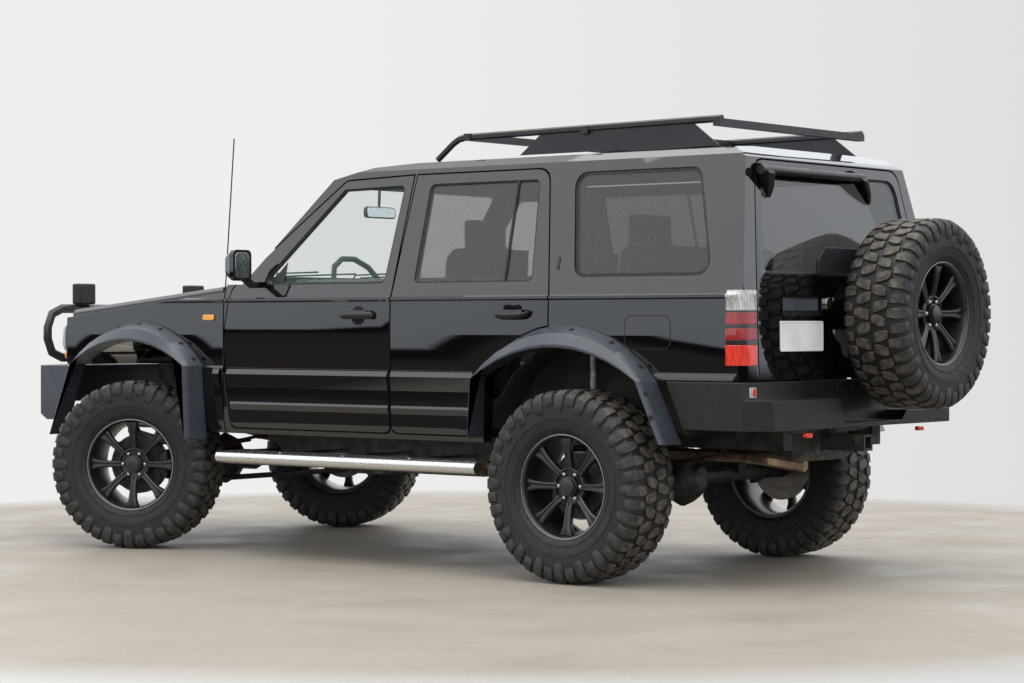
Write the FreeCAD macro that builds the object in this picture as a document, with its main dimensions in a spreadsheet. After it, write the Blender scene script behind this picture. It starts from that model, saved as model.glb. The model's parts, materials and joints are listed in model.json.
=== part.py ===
"""Lifted off-road 4x4: body, running gear, doors, tailgate and wheels as separate pieces.

Frame: +Z up, the vehicle faces -Y and its left side is +X. The origin is on the ground, on the centre
line, halfway along the overall length. Lengths are millimetres and angles are degrees.
"""
import FreeCAD, Part
import math
import os
import re
import Sketcher

V = FreeCAD.Vector

doc = FreeCAD.newDocument("offroad_four_by_four")
sheet = doc.addObject("Spreadsheet::Sheet", "sizes")

SIZES = {
    # Overall plan
    "wheelbase": 3000, "front_overhang": 910, "rear_overhang": 1285, "cut_overrun": 60,
    "running_gap": 0.3, "shut_gap": 8,
    "corner_chord_angle": 30, "rod_sides": 8, "tube_sides": 6, "bend_chords": 2, "arch_chords": 11,
    "roof_chords": 3, "liner_sides": 20, "wheel_chords": 12,
    # Wheels
    "tyre_diameter": 889, "tyre_width": 318, "wheel_track_half": 871, "tyre_bead_radius": 236,
    "tyre_tread_half": 80, "tyre_edge_half": 136, "tyre_lug_count": 24, "tyre_lug_height": 62,
    "tyre_bead_half": 118, "tyre_shoulder_drop": 14, "tyre_bulge_drop": 106,
    "rim_lip_radius": 245, "rim_lip_width": 11, "rim_barrel_wall": 10, "rim_disc_back": 45,
    "rim_disc_thickness": 34, "rim_disc_dish": 26, "rim_hub_radius": 84, "rim_cap_radius": 36,
    "rim_cap_height": 16,
    "rim_spoke_count": 8, "spoke_inner_half": 26, "spoke_outer_half": 20,
    # Steering and axles
    "kingpin_inset": 100, "steer_at_rest": 26, "knuckle_radius": 48, "knuckle_height": 150,
    "spindle_radius": 45, "brake_radius": 160, "brake_thickness": 30, "brake_offset": 20,
    "yoke_thickness": 26, "yoke_width": 92,
    "axle_tube_radius": 42, "diff_radius": 140, "diff_cover_depth": 115, "diff_flange": 12,
    "front_diff_offset": 170, "rear_diff_offset": 40,
    "pinion_radius": 55, "pinion_length": 240,
    "steer_arm_length": 155, "steer_arm_drop": 75, "steer_arm_thickness": 20, "steer_arm_width": 44,
    "tie_rod_radius": 15, "tie_rod_eye_radius": 24, "tie_rod_eye_wall": 8, "tie_pin_radius": 9,
    # Chassis
    "rail_offset": 392, "rail_width": 75, "rail_low": 505, "rail_raised": 612, "rail_depth": 120,
    "rail_front_reach": 740, "rail_rear_reach": 826.7, "rail_front_run": 590, "rail_rear_run": 530,
    "rail_kick": 110, "hanger_radius": 25, "cross_member_radius": 34,
    "leaf_width": 62, "leaf_thickness": 11, "leaf_half_length": 500, "leaf_eye_radius": 20,
    "leaf_seat_height": 12, "leaf_step": 110,
    "shock_radius": 33, "shock_rod_radius": 14, "shock_offset": 520, "shock_setback": 78, "shock_top": 1045,
    # Driveline
    "engine_width": 560, "engine_length": 760, "engine_bottom": 655, "engine_height": 450,
    "engine_front": 420, "gearbox_radius": 118, "gearbox_length": 900, "gearbox_height": 610,
    "transfer_width": 330, "transfer_length": 260, "transfer_height": 210, "propshaft_radius": 36,
    "tank_width": 480, "tank_length": 480, "tank_from_axle": 262, "tank_height": 190, "tank_bottom": 545,
    "tank_offset": 60,
    "exhaust_radius": 28, "muffler_radius": 60, "muffler_length": 480,
    # Body
    "body_half_width": 870, "sill_inset": 24, "sill_bottom": 625, "sill_step": 690,
    "belt_height": 1318, "belt_ledge": 12, "eave_inset": 180, "eave_rise": 634,
    "roof_edge_inset": 218, "roof_edge_rise": 668, "roof_crown_rise": 698,
    "crease_height": 958, "low_crease_height": 806, "crease_step": 7, "belt_band": 12,
    "tail_corner": 56, "door_wall": 84, "frame_wall": 40, "roof_wall": 38,
    "cowl_from_axle": 690, "cowl_rise": 74, "screen_foot_from_axle": 800,
    "screen_top_from_axle": 1312, "screen_top_rise": 600, "roof_front_from_axle": 1560,
    "roof_front_rise": 654, "roof_rear_from_axle": 700, "roof_rear_rise": 678,
    "tail_top_from_axle": 795, "tail_top_rise": 620, "tail_belt_from_axle": 892,
    "tail_bottom_from_axle": 897, "tail_bottom": 935,
    "floor_height": 662, "floor_thickness": 22, "tunnel_half_width": 190, "tunnel_height": 775,
    "firewall_thickness": 20, "boot_floor_height": 800,
    "liner_radius": 597, "liner_thickness": 14, "liner_inner": 448, "liner_setback": 40,
    "liner_centre_height": 520, "rear_liner_setback": -30, "rear_liner_inner": 612,
    "rear_shock_offset": 660, "screen_wall": 46,
    # Doors, measured from the front axle or the rear axle
    "door_lead_from_axle": 680, "pillar_share": 0.543662, "pillar_lean": 28, "door_rear_from_axle": 190,
    "door_bottom": 655, "door_top_rise": 612, "door_taper": 14, "window_belt_rise": 70,
    "window_top_rise": 556,
    "glass_inset": 9, "glass_thickness": 7, "window_corner": 28,
    # Door furniture
    "handle_drop": 78, "handle_width": 190, "handle_depth": 26, "handle_thickness": 30,
    "handle_setback": 130, "mirror_width": 132, "mirror_depth": 76, "mirror_height": 158,
    "mirror_low_rise": 90, "mirror_setback": 250, "mirror_stand": 36, "mirror_foot_height": 36,
    "mirror_arm_depth": 30,
    # Quarter windows
    "quarter_lead_from_axle": 150, "quarter_trail_from_axle": 712, "quarter_low_rise": 86,
    "quarter_high_rise": 582, "quarter_lean_front": 95, "quarter_lean_rear": 145, "quarter_corner": 62,
    # Tailgate
    "gate_low_inset": 135, "gate_belt_inset": 122, "gate_top_inset": 242, "gate_bottom": 938,
    "gate_top_rise": 614, "gate_corner": 70, "gate_wall": 60, "gate_window_low_rise": 94,
    "gate_window_high_rise": 562, "gate_window_low_inset": 198, "gate_window_top_inset": 280,
    "gate_window_corner": 80,
    "gate_pocket_width": 330, "gate_pocket_height": 92, "gate_pocket_depth": 26,
    "gate_pocket_x": 375, "gate_pocket_z": 1272,
    "spare_offset": 270, "spare_height": 1236, "carrier_drum_radius": 70, "carrier_plate": 14,
    "carrier_width": 420, "carrier_height": 430, "carrier_wing_width": 330, "carrier_wing_height": 118,
    "carrier_wing_corner": 60,
    # Front body
    "wing_wall": 36, "wing_front_from_axle": 520, "nose_from_axle": 590, "nose_inset": 128,
    "bonnet_inset": 78, "bonnet_front_from_axle": 556,
    "bonnet_front_drop": 50, "bonnet_rear_rise": 74, "bonnet_side_drop": 100,
    "bonnet_side_rise": 34, "bonnet_wall": 34, "bonnet_lid_gap": 6,
    "grille_width": 760, "grille_height": 190, "grille_depth": 46, "grille_low": 1000,
    "grille_bar_count": 5, "grille_bar": 14, "grille_frame": 26,
    "headlamp_width": 250, "headlamp_height": 172, "headlamp_depth": 60, "headlamp_low": 1012,
    "headlamp_inset": 305,
    # Bumpers
    "bumper_top": 962, "bumper_face_low": 790, "bumper_bottom": 664, "bumper_nose_from_axle": 893,
    "bumper_corner_from_axle": 800, "bumper_side_from_axle": 440, "bumper_corner_inset": 70,
    "bumper_straight_inset": 330, "bumper_inset": 4, "bumper_wall": 60, "bumper_chin": 200,
    "bar_tube_radius": 25, "bar_inset": 180, "bar_drop": 42, "bar_foot_drop": 318, "bar_corner": 105,
    "bar_upright_x": 330, "bar_setback": 885, "lamp_size": 118, "lamp_depth": 72, "lamp_x": 430,
    "rear_bumper_top": 852, "rear_bumper_low_top": 782, "rear_bumper_side_top": 930,
    "rear_bumper_bottom": 716, "rear_bumper_face": 1005, "rear_bumper_inset": 86,
    "rear_bumper_side_inset": -2, "rear_bumper_side_from_axle": 486, "rear_bumper_rake": 118,
    "rear_bumper_wall": 70,
    "rear_notch_left": 190, "rear_notch_right": -325, "rear_notch_floor": 738, "rear_notch_slope": 45,
    # Lamps
    "tail_lamp_low": 1004, "tail_lamp_high": 1338, "tail_lamp_inset": 106, "tail_lamp_wrap": 90,
    "tail_lamp_depth": 40,
    "tail_lamp_proud": 9,
    # Arches and flares, measured from each axle
    "front_arch_lead": 412, "front_arch_trail": 540, "front_arch_crown": 62, "front_arch_top": 1204,
    "front_arch_shoulder": 972, "front_arch_lead_foot": 560, "front_arch_trail_foot": 556,
    "rear_arch_lead": 604, "rear_arch_trail": 437, "rear_arch_crown": -72, "rear_arch_top": 1184,
    "rear_arch_shoulder": 930, "rear_arch_lead_foot": 622, "rear_arch_trail_foot": 578,
    "flare_foot": 588, "rear_flare_foot": 650, "flare_width": 104, "flare_leg": 46, "flare_outset": 112,
    "arch_margin": 34,
    # Side steps
    "step_tube_radius": 32, "step_inset": -56, "step_height": 506, "step_front_from_axle": 715,
    "step_rear_from_axle": 560, "step_plate_width": 118, "step_plate_thickness": 12, "step_arm_radius": 20,
    # Roof rack
    "rack_inset": 258, "rack_rise": 784, "rack_tube_radius": 17, "rack_front_from_axle": 1930,
    "rack_rear_from_axle": 598, "rack_bend": 135, "rack_foot_rise": 682, "rack_bar_half": 20,
    "rack_panel_lead": 520, "rack_panel_thickness": 10,
    # Aerial
    "aerial_inset": 64, "aerial_from_axle": 640, "aerial_rise": 832, "aerial_radius": 3.5,
    "aerial_base_radius": 13,
    "aerial_base_height": 26, "aerial_lean": 66,
    # Inside
    "seat_width": 520, "seat_x": 385, "seat_base_height": 985, "seat_base_depth": 500,
    "seat_back_rise": 242, "seat_back_thickness": 130, "seat_cushion": 170, "seat_plinth": 120,
    "seat_front_from_axle": 1430, "bench_from_axle": 560, "bench_width": 1150, "bench_rise": 48,
    "headrest_width": 250,
    "headrest_height": 160, "headrest_thickness": 90, "headrest_gap": 16, "seat_recline": 70,
    "dash_depth": 330, "dash_top_rise": 60, "dash_low": 1010, "dash_from_axle": 880, "dash_inset": 180,
    "wheel_rim_radius": 185, "wheel_grip_radius": 15, "wheel_x": 380, "wheel_rise": 52,
    "wheel_from_axle": 1200, "wheel_tilt": 28, "column_radius": 30, "spoke_radius": 10,
    # Tow hitch
    "hitch_half": 38, "hitch_bore_half": 26, "hitch_length": 190, "hitch_height": 640,
    "hitch_pin_radius": 8, "hitch_end_from_axle": 1015,
    # More details
    "tyre_bead_lip": 2, "tyre_shoulder_half": 150, "yoke_clearance": 12, "leaf_count": 4,
    "tank_corner": 30, "exhaust_x": 290, "exhaust_height": 475, "exhaust_rise_from_axle": 560,
    "exhaust_arch_height": 572,
    "exhaust_drop_from_axle": 545, "exhaust_tip_x": 500, "exhaust_exit_height": 575,
    "exhaust_tip_height": 552,
    "exhaust_end_from_axle": 985, "exhaust_swing_from_axle": 770, "exhaust_bend": 90,
    "door_toe": 55, "door_knee_height": 1080, "door_bow": 700, "door_corner": 40, "belt_step": 20,
    "frame_behind_screen": 78, "door_front_drop": 14, "frame_corner": 60, "window_margin": 52,
    "rear_window_margin": 128, "rear_door_lean": 108, "rear_door_corner": 70, "window_behind_screen": 132,
    "mirror_corner": 26, "mirror_foot_drop": 40,
    "screen_margin": 34, "screen_pillar": 62, "screen_corner": 50,
    "wing_corner": 60, "bonnet_edge": 18, "bumper_skin": 8, "bumper_rake": 145,
    "carrier_wing_overlap": 30, "seat_edge": 40, "dash_nose": 60, "dash_edge": 30, "column_length": 330,
}

for row, (alias, value) in enumerate(SIZES.items(), start=1):
    sheet.set(f"A{row}", alias)
    sheet.set(f"B{row}", str(value))
    sheet.setAlias(f"B{row}", alias)
doc.recompute()


class Sizes:
    """Reads the sheet's cells by alias."""

    def __getattr__(self, alias):
        return float(sheet.get(alias))


s = Sizes()

OVERALL = s.front_overhang + s.wheelbase + s.rear_overhang
FRONT = -OVERALL / 2 + s.front_overhang
REAR = FRONT + s.wheelbase
TYRE_R = s.tyre_diameter / 2
BOUND = s.body_half_width + s.flare_outset
PLACES = {
    "front_axle": "((sizes.front_overhang - sizes.wheelbase - sizes.rear_overhang) / 2)",
    "rear_axle": "((sizes.front_overhang + sizes.wheelbase - sizes.rear_overhang) / 2)",
    "axle_height": "(sizes.tyre_diameter / 2)",
}
nodes = {}


def above(rise):
    """Height of a place above the body's belt line."""
    return s.belt_height + rise


def within(inset):
    """Place across the vehicle, inside the body's widest line."""
    return s.body_half_width - inset



# Shape helpers

def keep(name, shape, placement=None):
    """Stores a shape that is worked out in code as a document object and marks it as a piece."""
    feature = doc.addObject("Part::Feature", name)
    feature.Shape = shape
    feature.Label = name
    feature.Placement = placement or FreeCAD.Placement()
    nodes[name] = feature
    return feature


def formula(text):
    """Points each size named in a formula at the sheet, and the axles' names at their places."""
    return re.sub(r"[a-z_]+", named, text)


def named(word):
    sized = f"sizes.{word[0]}" if word[0] in SIZES else word[0]
    return PLACES.get(word[0], sized)


def bind(thing, **formulas):
    """Binds properties to formulas of the sizes; a double underscore stands for a dot."""
    for prop, text in formulas.items():
        if text != "0":
            thing.setExpression(prop.replace("__", "."), formula(text))
    return thing


def piece(name, thing):
    """Marks a document object as a finished piece."""
    thing.Label = name
    nodes[name] = thing


def box(name, x, y, z):
    """Block between two places on each axis, given as formulas."""
    thing = doc.addObject("Part::Box", name)
    return bind(thing, Length=f"({x[1]}) - ({x[0]})", Width=f"({y[1]}) - ({y[0]})",
                Height=f"({z[1]}) - ({z[0]})",
                Placement__Base__x=x[0], Placement__Base__y=y[0], Placement__Base__z=z[0])


BAR_TURNS = {"x": FreeCAD.Rotation(V(0, 1, 0), 90), "y": FreeCAD.Rotation(V(1, 0, 0), -90),
             "z": FreeCAD.Rotation()}


def bar(name, way, start, length, radius):
    """Many-sided bar along one axis from its start, given as formulas."""
    thing = doc.addObject("Part::Prism", name)
    thing.Placement = FreeCAD.Placement(V(0, 0, 0), BAR_TURNS[way])
    return bind(thing, Polygon="rod_sides", Circumradius=radius, Height=length,
                Placement__Base__x=start[0], Placement__Base__y=start[1], Placement__Base__z=start[2])


VIEW_PLANES = {"side": "YZ_Plane", "front": "XZ_Plane", "plan": "XY_Plane"}


def drawn(name, view, corners, start, end):
    """Body drawn out between two places from an outline whose corners are all given as formulas."""
    body = doc.addObject("PartDesign::Body", name)
    sketch = body.newObject("Sketcher::SketchObject", f"{name}_outline")
    plane = next(p for p in body.Origin.OriginFeatures if p.Role == VIEW_PLANES[view])
    sketch.AttachmentSupport = [(plane, "")]
    sketch.MapMode = "FlatFace"
    bind(sketch, AttachmentOffset__Base__z=f"-({start})" if view == "front" else start)
    spots = [V(*(float(sheet.evalExpression(formula(text))) for text in corner), 0) for corner in corners]
    count = len(corners)
    for i in range(count):
        sketch.addGeometry(Part.LineSegment(spots[i], spots[(i + 1) % count]))
    for i in range(count):
        sketch.addConstraint(Sketcher.Constraint("Coincident", i, 2, (i + 1) % count, 1))
        for kind, text, place in (("DistanceX", corners[i][0], spots[i].x),
                                  ("DistanceY", corners[i][1], spots[i].y)):
            index = sketch.addConstraint(Sketcher.Constraint(kind, i, 1, place))
            bind(sketch, **{f"Constraints[{index}]": text})
    pad = body.newObject("PartDesign::Pad", f"{name}_depth")
    pad.Profile = sketch
    pad.Reversed = view == "front"
    bind(pad, Length=f"({end}) - ({start})")
    return body


def fused(name, things):
    """One solid out of several that touch."""
    thing = doc.addObject("Part::MultiFuse", name)
    thing.Shapes = things
    thing.Refine = True
    return thing


def less(name, base, tools):
    """A thing with others cut away from it."""
    thing = doc.addObject("Part::Cut", name)
    thing.Base = base
    thing.Tool = tools[0] if len(tools) == 1 else fused(f"{name}_cuts", tools)
    return thing


def grouped(name, things):
    """Several solids that don't touch, kept as one piece."""
    thing = doc.addObject("Part::Compound", name)
    thing.Links = things
    return thing


def other_side(thing):
    """The same thing on the other side of the centre line."""
    copy = doc.addObject("Part::Mirroring", f"{thing.Name}_other")
    copy.Source = thing
    copy.Normal = V(1, 0, 0)
    return copy


def rounded_points(points):
    """Corners of an outline of (u, v) or (u, v, radius) points, each radius drawn as a few chords."""
    flat = [(p[0], p[1], p[2] if len(p) > 2 else 0) for p in points]
    count = len(flat)
    result = []
    for i, (u, v, radius) in enumerate(flat):
        here = V(u, v, 0)
        if radius == 0:
            result.append(here)
            continue
        before = V(flat[i - 1][0], flat[i - 1][1], 0) - here
        after = V(flat[(i + 1) % count][0], flat[(i + 1) % count][1], 0) - here
        half = before.getAngle(after) / 2
        run = min(radius / math.tan(half), before.Length * longest_run_share,
                  after.Length * longest_run_share)
        before.normalize()
        after.normalize()
        centre = here + (before + after).normalize() * (run / math.cos(half))
        turn = math.pi - 2 * half
        chords = max(2, math.ceil(turn / math.radians(s.corner_chord_angle)))
        step = turn / chords if before.cross(after).z < 0 else -turn / chords
        spoke = here + before * run - centre
        for k in range(chords + 1):
            c, n = math.cos(step * k), math.sin(step * k)
            result.append(centre + V(spoke.x * c - spoke.y * n, spoke.x * n + spoke.y * c, 0))
    return result


longest_run_share = 0.49


def rounded_loop(points, to_3d):
    """A closed wire through an outline's corners."""
    return closed_wire([to_3d(p) for p in rounded_points(points)])


def closed_wire(corners):
    return Part.makePolygon(corners + corners[:1])


def skinned(faces):
    """Solid closed by flat faces, each given by its corners."""
    shell = Part.makeShell([Part.Face(closed_wire(corners)) for corners in faces])
    shell.sewShape()
    solid = Part.makeSolid(shell)
    return solid if solid.Volume > 0 else solid.reversed()


def between(first, second):
    """Flat faces between two loops of equal count; four corners that aren't level give two faces."""
    faces = []
    for i in range(len(first)):
        a, b, c, d = first[i - 1], first[i], second[i], second[i - 1]
        corners = []
        for p in (a, b, c, d):
            if all(p.distanceToPoint(q) > same_place for q in corners):
                corners.append(p)
        if len(corners) < 3:
            continue
        normal = (corners[1] - a).cross(corners[2] - a).normalize()
        if len(corners) == 3 or abs(normal.dot(corners[3] - a)) < flat_share:
            faces.append(corners)
        else:
            faces += [corners[:3], [a] + corners[2:]]
    return faces


flat_share = 1e-9
same_place = s.running_gap / 100


def lofted(loops):
    """Solid through loops of corners, each loop flat and of the same count."""
    faces = [loops[0], loops[-1]]
    for first, second in zip(loops, loops[1:]):
        faces += between(first, second)
    return skinned(faces)


def ring(centre, way, radius, sides):
    """Corners of a regular outline square to a direction."""
    upright = V(0, 0, 1) if abs(way.z) < way.Length * steep_share else V(0, 1, 0)
    across = way.cross(upright).normalize()
    up = across.cross(way).normalize()
    angles = [math.pi * (2 * k + 1) / sides for k in range(int(sides))]
    return [centre + across * (radius * math.cos(a)) + up * (radius * math.sin(a)) for a in angles]


steep_share = 0.9


def turned(profile, sides):
    """Solid turned about the x axis in flat faces, from (x, radius) points; it may close on the axis."""
    loops = [[V(x, radius * math.cos(2 * math.pi * k / sides), radius * math.sin(2 * math.pi * k / sides))
              for k in range(int(sides))] for x, radius in profile]
    faces = []
    for i, loop in enumerate(loops):
        if profile[i - 1][1] > 0 or profile[i][1] > 0:
            faces += between(loops[i - 1], loop)
    return skinned(faces)


def side_loop(points, x):
    return rounded_loop(points, lambda p: V(x, p.x, p.y))


def front_loop(points, y):
    return rounded_loop(points, lambda p: V(p.x, y, p.y))


def plan_loop(points, z):
    return rounded_loop(points, lambda p: V(p.x, p.y, z))


def side_prism(points, x_from, x_to):
    """Solid from a (y, z) outline, between two x places."""
    return Part.Face(side_loop(points, x_from)).extrude(V(x_to - x_from, 0, 0))


def front_prism(points, y_from, y_to):
    """Solid from an (x, z) outline, between two y places."""
    return Part.Face(front_loop(points, y_from)).extrude(V(0, y_to - y_from, 0))


def plan_prism(points, z_from, z_to):
    """Solid from an (x, y) outline, between two z places."""
    return Part.Face(plan_loop(points, z_from)).extrude(V(0, 0, z_to - z_from))


def block(x_from, x_to, y_from, y_to, z_from, z_to):
    return Part.makeBox(x_to - x_from, y_to - y_from, z_to - z_from, V(x_from, y_from, z_from))


def rod(start, end, radius, sides=0):
    """Bar with a regular many-sided section."""
    way = end - start
    return Part.Face(closed_wire(ring(start, way, radius, sides or s.rod_sides))).extrude(way)


def bent_path(points, bends):
    """Path whose inner corners are bent by their radius, each bend drawn as a few chords."""
    path = [points[0]]
    for i, radius in enumerate(bends, start=1):
        here = points[i]
        before = points[i - 1] - here
        after = points[i + 1] - here
        half = before.getAngle(after) / 2
        run = radius / math.tan(half)
        before.normalize()
        after.normalize()
        mid = here + (before + after).normalize() * (run / math.cos(half) - radius)
        arc = Part.Arc(here + before * run, mid, here + after * run).toShape()
        path += arc.discretize(Number=int(s.bend_chords) + 1)
    return path + [points[-1]]


def tube(path, radius, sides):
    """Bar along a path of straight runs, mitred at each corner; a path may end where it starts."""
    closed = path[0].distanceToPoint(path[-1]) < s.running_gap
    ways = [(b - a).normalize() for a, b in zip(path, path[1:])]
    loop = ring(path[0], ways[0], radius, sides)
    if closed:
        mitre = (ways[-1] + ways[0]).normalize()
        loop = [p + ways[0] * ((path[0] - p).dot(mitre) / ways[0].dot(mitre)) for p in loop]
    loops = [loop]
    for i, way in enumerate(ways):
        following = ways[(i + 1) % len(ways)] if closed or i + 1 < len(ways) else way
        mitre = (way + following).normalize()
        loop = [p + way * ((path[i + 1] - p).dot(mitre) / way.dot(mitre)) for p in loop]
        loops.append(loop)
    if not closed:
        return lofted(loops)
    faces = []
    loops[-1] = loops[0]
    for first, second in zip(loops, loops[1:]):
        faces += between(first, second)
    return skinned(faces)


def bent_tube(points, radius, bends):
    return tube(bent_path(points, bends), radius, s.tube_sides)


def mirrored(shape):
    """The same piece on the other side of the centre line."""
    return shape.mirror(V(0, 0, 0), V(1, 0, 0))


def both_sides(shape):
    return [shape, mirrored(shape)]


def joined(shapes):
    result = shapes[0].fuse(shapes[1:]) if len(shapes) > 1 else shapes[0]
    return result.removeSplitter()


def several(shapes):
    return Part.makeCompound(shapes)


# Body envelope

def section_points(low_inset, high_inset):
    """Half of the body's front-view section from the sill to the eave; only the outside has its creases."""
    half = within(low_inset)
    belt = s.belt_height
    points = [(half - s.sill_inset, s.sill_bottom), (half, s.sill_step)]
    if low_inset < s.belt_ledge:
        low, high, step = s.low_crease_height, s.crease_height, s.crease_step
        points = [(half - s.sill_inset, s.sill_bottom), (half - step, s.sill_step),
                  (half - step / 2, low), (half, low + step), (half, high),
                  (half - step, high + 2 * step), (half - step / 2, (high + belt) / 2),
                  (half - step, belt - s.belt_band - step), (half, belt - s.belt_band)]
    points += [(half, belt), (within(s.belt_ledge) - high_inset, belt + s.belt_band / 2)]
    return points + [(within(s.eave_inset) - high_inset, above(s.eave_rise))]


def section_solid(low_inset, high_inset, roof_inset, y_from, y_to):
    """The body's front-view section with its crowned roof, drawn out along the vehicle."""
    half = section_points(low_inset, high_inset)
    edge_x = within(s.roof_edge_inset) - high_inset
    edge_z = above(s.roof_edge_rise) - roof_inset
    crown = Part.Arc(V(edge_x, y_from, edge_z), V(0, y_from, above(s.roof_crown_rise) - roof_inset),
                     V(-edge_x, y_from, edge_z))
    roof = crown.toShape().discretize(Number=int(s.roof_chords) + 1)
    right = [V(x, y_from, z) for x, z in half]
    left = [V(-x, y_from, z) for x, z in half[::-1]]
    return Part.Face(closed_wire(right + roof + left)).extrude(V(0, y_to - y_from, 0))


def profile_solid(inset, front_inset):
    """The cabin's side-view profile across the whole width, moved inwards by an inset."""
    x = BOUND
    low = V(x, FRONT + s.cowl_from_axle + front_inset, s.sill_bottom - s.cut_overrun)
    cowl = V(x, low.y, above(s.cowl_rise) - inset)
    foot = V(x, FRONT + s.screen_foot_from_axle + front_inset - inset / SCREEN_SLOPE, cowl.z)
    top = V(x, FRONT + s.screen_top_from_axle + front_inset - inset / SCREEN_SLOPE,
            above(s.screen_top_rise) - inset)
    roof_front = V(x, FRONT + s.roof_front_from_axle, above(s.roof_front_rise) - inset)
    roof_rear = V(x, REAR + s.roof_rear_from_axle - inset, above(s.roof_rear_rise) - inset)
    roof_middle = V(x, (roof_front.y + roof_rear.y) / 2, above(s.roof_crown_rise) - inset)
    tail_top = V(x, REAR + s.tail_top_from_axle - inset, above(s.tail_top_rise) - inset)
    tail_belt = V(x, REAR + s.tail_belt_from_axle - inset, s.belt_height)
    tail_low = V(x, REAR + s.tail_bottom_from_axle - inset, s.tail_bottom)
    roof = Part.Arc(roof_front, roof_middle, roof_rear).toShape().discretize(Number=int(s.roof_chords) + 1)
    corners = [low, cowl, foot, top] + roof + [tail_top, tail_belt, tail_low, V(x, tail_low.y, low.z)]
    return Part.Face(closed_wire(corners)).extrude(V(-2 * x, 0, 0))


SCREEN_RUN = s.screen_top_from_axle - s.screen_foot_from_axle
SCREEN_SLOPE = (s.screen_top_rise - s.cowl_rise) / SCREEN_RUN
SPAN = (FRONT - s.front_overhang, REAR + s.rear_overhang)


def envelope(low_inset, high_inset, roof_inset, end_inset, front_inset):
    """Everything inside the body's outer surface, moved inwards by the insets."""
    section = section_solid(low_inset, high_inset, roof_inset, *SPAN)
    half = within(low_inset)
    tail = REAR + max(s.tail_bottom_from_axle, s.tail_belt_from_axle) - end_inset
    plan = plan_prism([(half, SPAN[0]), (half, tail, s.tail_corner), (-half, tail, s.tail_corner),
                       (-half, SPAN[0])], 0, above(s.roof_crown_rise) + s.cut_overrun)
    return section.common(profile_solid(end_inset, front_inset)).common(plan)


def even_envelope(inset):
    return envelope(inset, inset, inset, inset, inset + inset / SCREEN_SLOPE)


OUTER = even_envelope(0)
INNER = envelope(s.door_wall, s.frame_wall, s.roof_wall, s.gate_wall, s.screen_wall)
PANE = even_envelope(s.glass_inset).cut(even_envelope(s.glass_inset + s.glass_thickness))
INNER_SECTION = section_solid(s.door_wall, s.frame_wall, s.roof_wall, *SPAN)
SIDE = OUTER.cut(INNER_SECTION)
FRONT_ROOM = block(-s.body_half_width + s.door_wall, s.body_half_width - s.door_wall, FRONT,
                   FRONT + s.cowl_from_axle + 2 * s.screen_wall, 0, above(s.cowl_rise) - s.gate_wall)
SKIN = OUTER.cut(INNER).cut(FRONT_ROOM)
DEEP = section_solid(s.door_wall + s.shut_gap, s.frame_wall + s.shut_gap, s.roof_wall + s.shut_gap, *SPAN)


def tapered_side(points, grow):
    """Door-shaped plug, a little larger outside than inside, so that it leaves its opening cleanly."""
    outside = grown(points, grow)
    inside = grown(points, grow - s.door_taper)
    depth = s.body_half_width - within(s.eave_inset) + s.door_wall
    x_out = s.body_half_width + s.running_gap
    inner_loop = [V(x_out - depth, p.x, p.y) for p in rounded_points(inside)]
    outer_loop = [V(x_out, p.x, p.y) for p in rounded_points(outside)]
    return lofted([inner_loop, outer_loop])


def grown(points, grow):
    """Moves each side of a closed outline outwards, keeping the corners' radii."""
    count = len(points)
    area = sum(points[i - 1][0] * points[i][1] - points[i][0] * points[i - 1][1] for i in range(count))
    turn = 1 if area > 0 else -1
    result = []
    for i, point in enumerate(points):
        before = V(point[0] - points[i - 1][0], point[1] - points[i - 1][1], 0).normalize()
        after_point = points[(i + 1) % count]
        after = V(after_point[0] - point[0], after_point[1] - point[1], 0).normalize()
        n1 = V(before.y, -before.x, 0) * turn
        n2 = V(after.y, -after.x, 0) * turn
        middle = n1 + n2
        step = middle * (2 * grow / (middle.Length * middle.Length))
        radius = point[2] if len(point) > 2 else 0
        result.append((point[0] + step.x, point[1] + step.y, radius))
    return result


# Door outlines in (y, z)

LEAD = FRONT + s.door_lead_from_axle
REAR_EDGE = REAR - s.door_rear_from_axle
PILLAR = LEAD + (REAR_EDGE - LEAD) * s.pillar_share


def screen_line(height, behind):
    """Place along the vehicle of a line behind the windscreen's edge, at a height."""
    return FRONT + s.screen_foot_from_axle + (height - above(s.cowl_rise)) / SCREEN_SLOPE + behind


def front_door_outline():
    lean = s.pillar_lean
    return [
        (LEAD + s.door_toe, s.door_bottom, s.door_corner),
        (LEAD, s.door_knee_height, s.door_bow),
        (LEAD + s.door_toe, above(s.cowl_rise) - s.belt_step, s.door_corner),
        (screen_line(above(s.door_top_rise), s.frame_behind_screen),
         above(s.door_top_rise) - s.door_front_drop, s.frame_corner),
        (PILLAR + lean - s.shut_gap, above(s.door_top_rise), 0),
        (PILLAR - s.shut_gap, s.belt_height, 0),
        (PILLAR - s.shut_gap, s.door_bottom, s.door_corner),
    ]


def rear_door_outline():
    lean = s.pillar_lean
    return [
        (PILLAR, s.door_bottom, s.door_corner),
        (PILLAR, s.belt_height, 0),
        (PILLAR + lean, above(s.door_top_rise), 0),
        (REAR_EDGE - s.rear_door_lean, above(s.door_top_rise), s.rear_door_corner),
        (REAR_EDGE, s.belt_height, 0),
        (REAR_EDGE, s.rear_arch_shoulder, 0),
        (REAR_EDGE, s.door_bottom, 0),
    ]


def front_window_outline():
    edge = s.window_margin
    return [
        (screen_line(above(s.window_belt_rise), s.window_behind_screen), above(s.window_belt_rise),
         s.window_corner),
        (screen_line(above(s.window_top_rise), s.window_behind_screen),
         above(s.window_top_rise) - s.door_front_drop / 2, s.window_corner),
        (PILLAR + s.pillar_lean - s.shut_gap - edge, above(s.window_top_rise), s.window_corner),
        (PILLAR - s.shut_gap - edge, above(s.window_belt_rise), s.window_corner),
    ]


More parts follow.
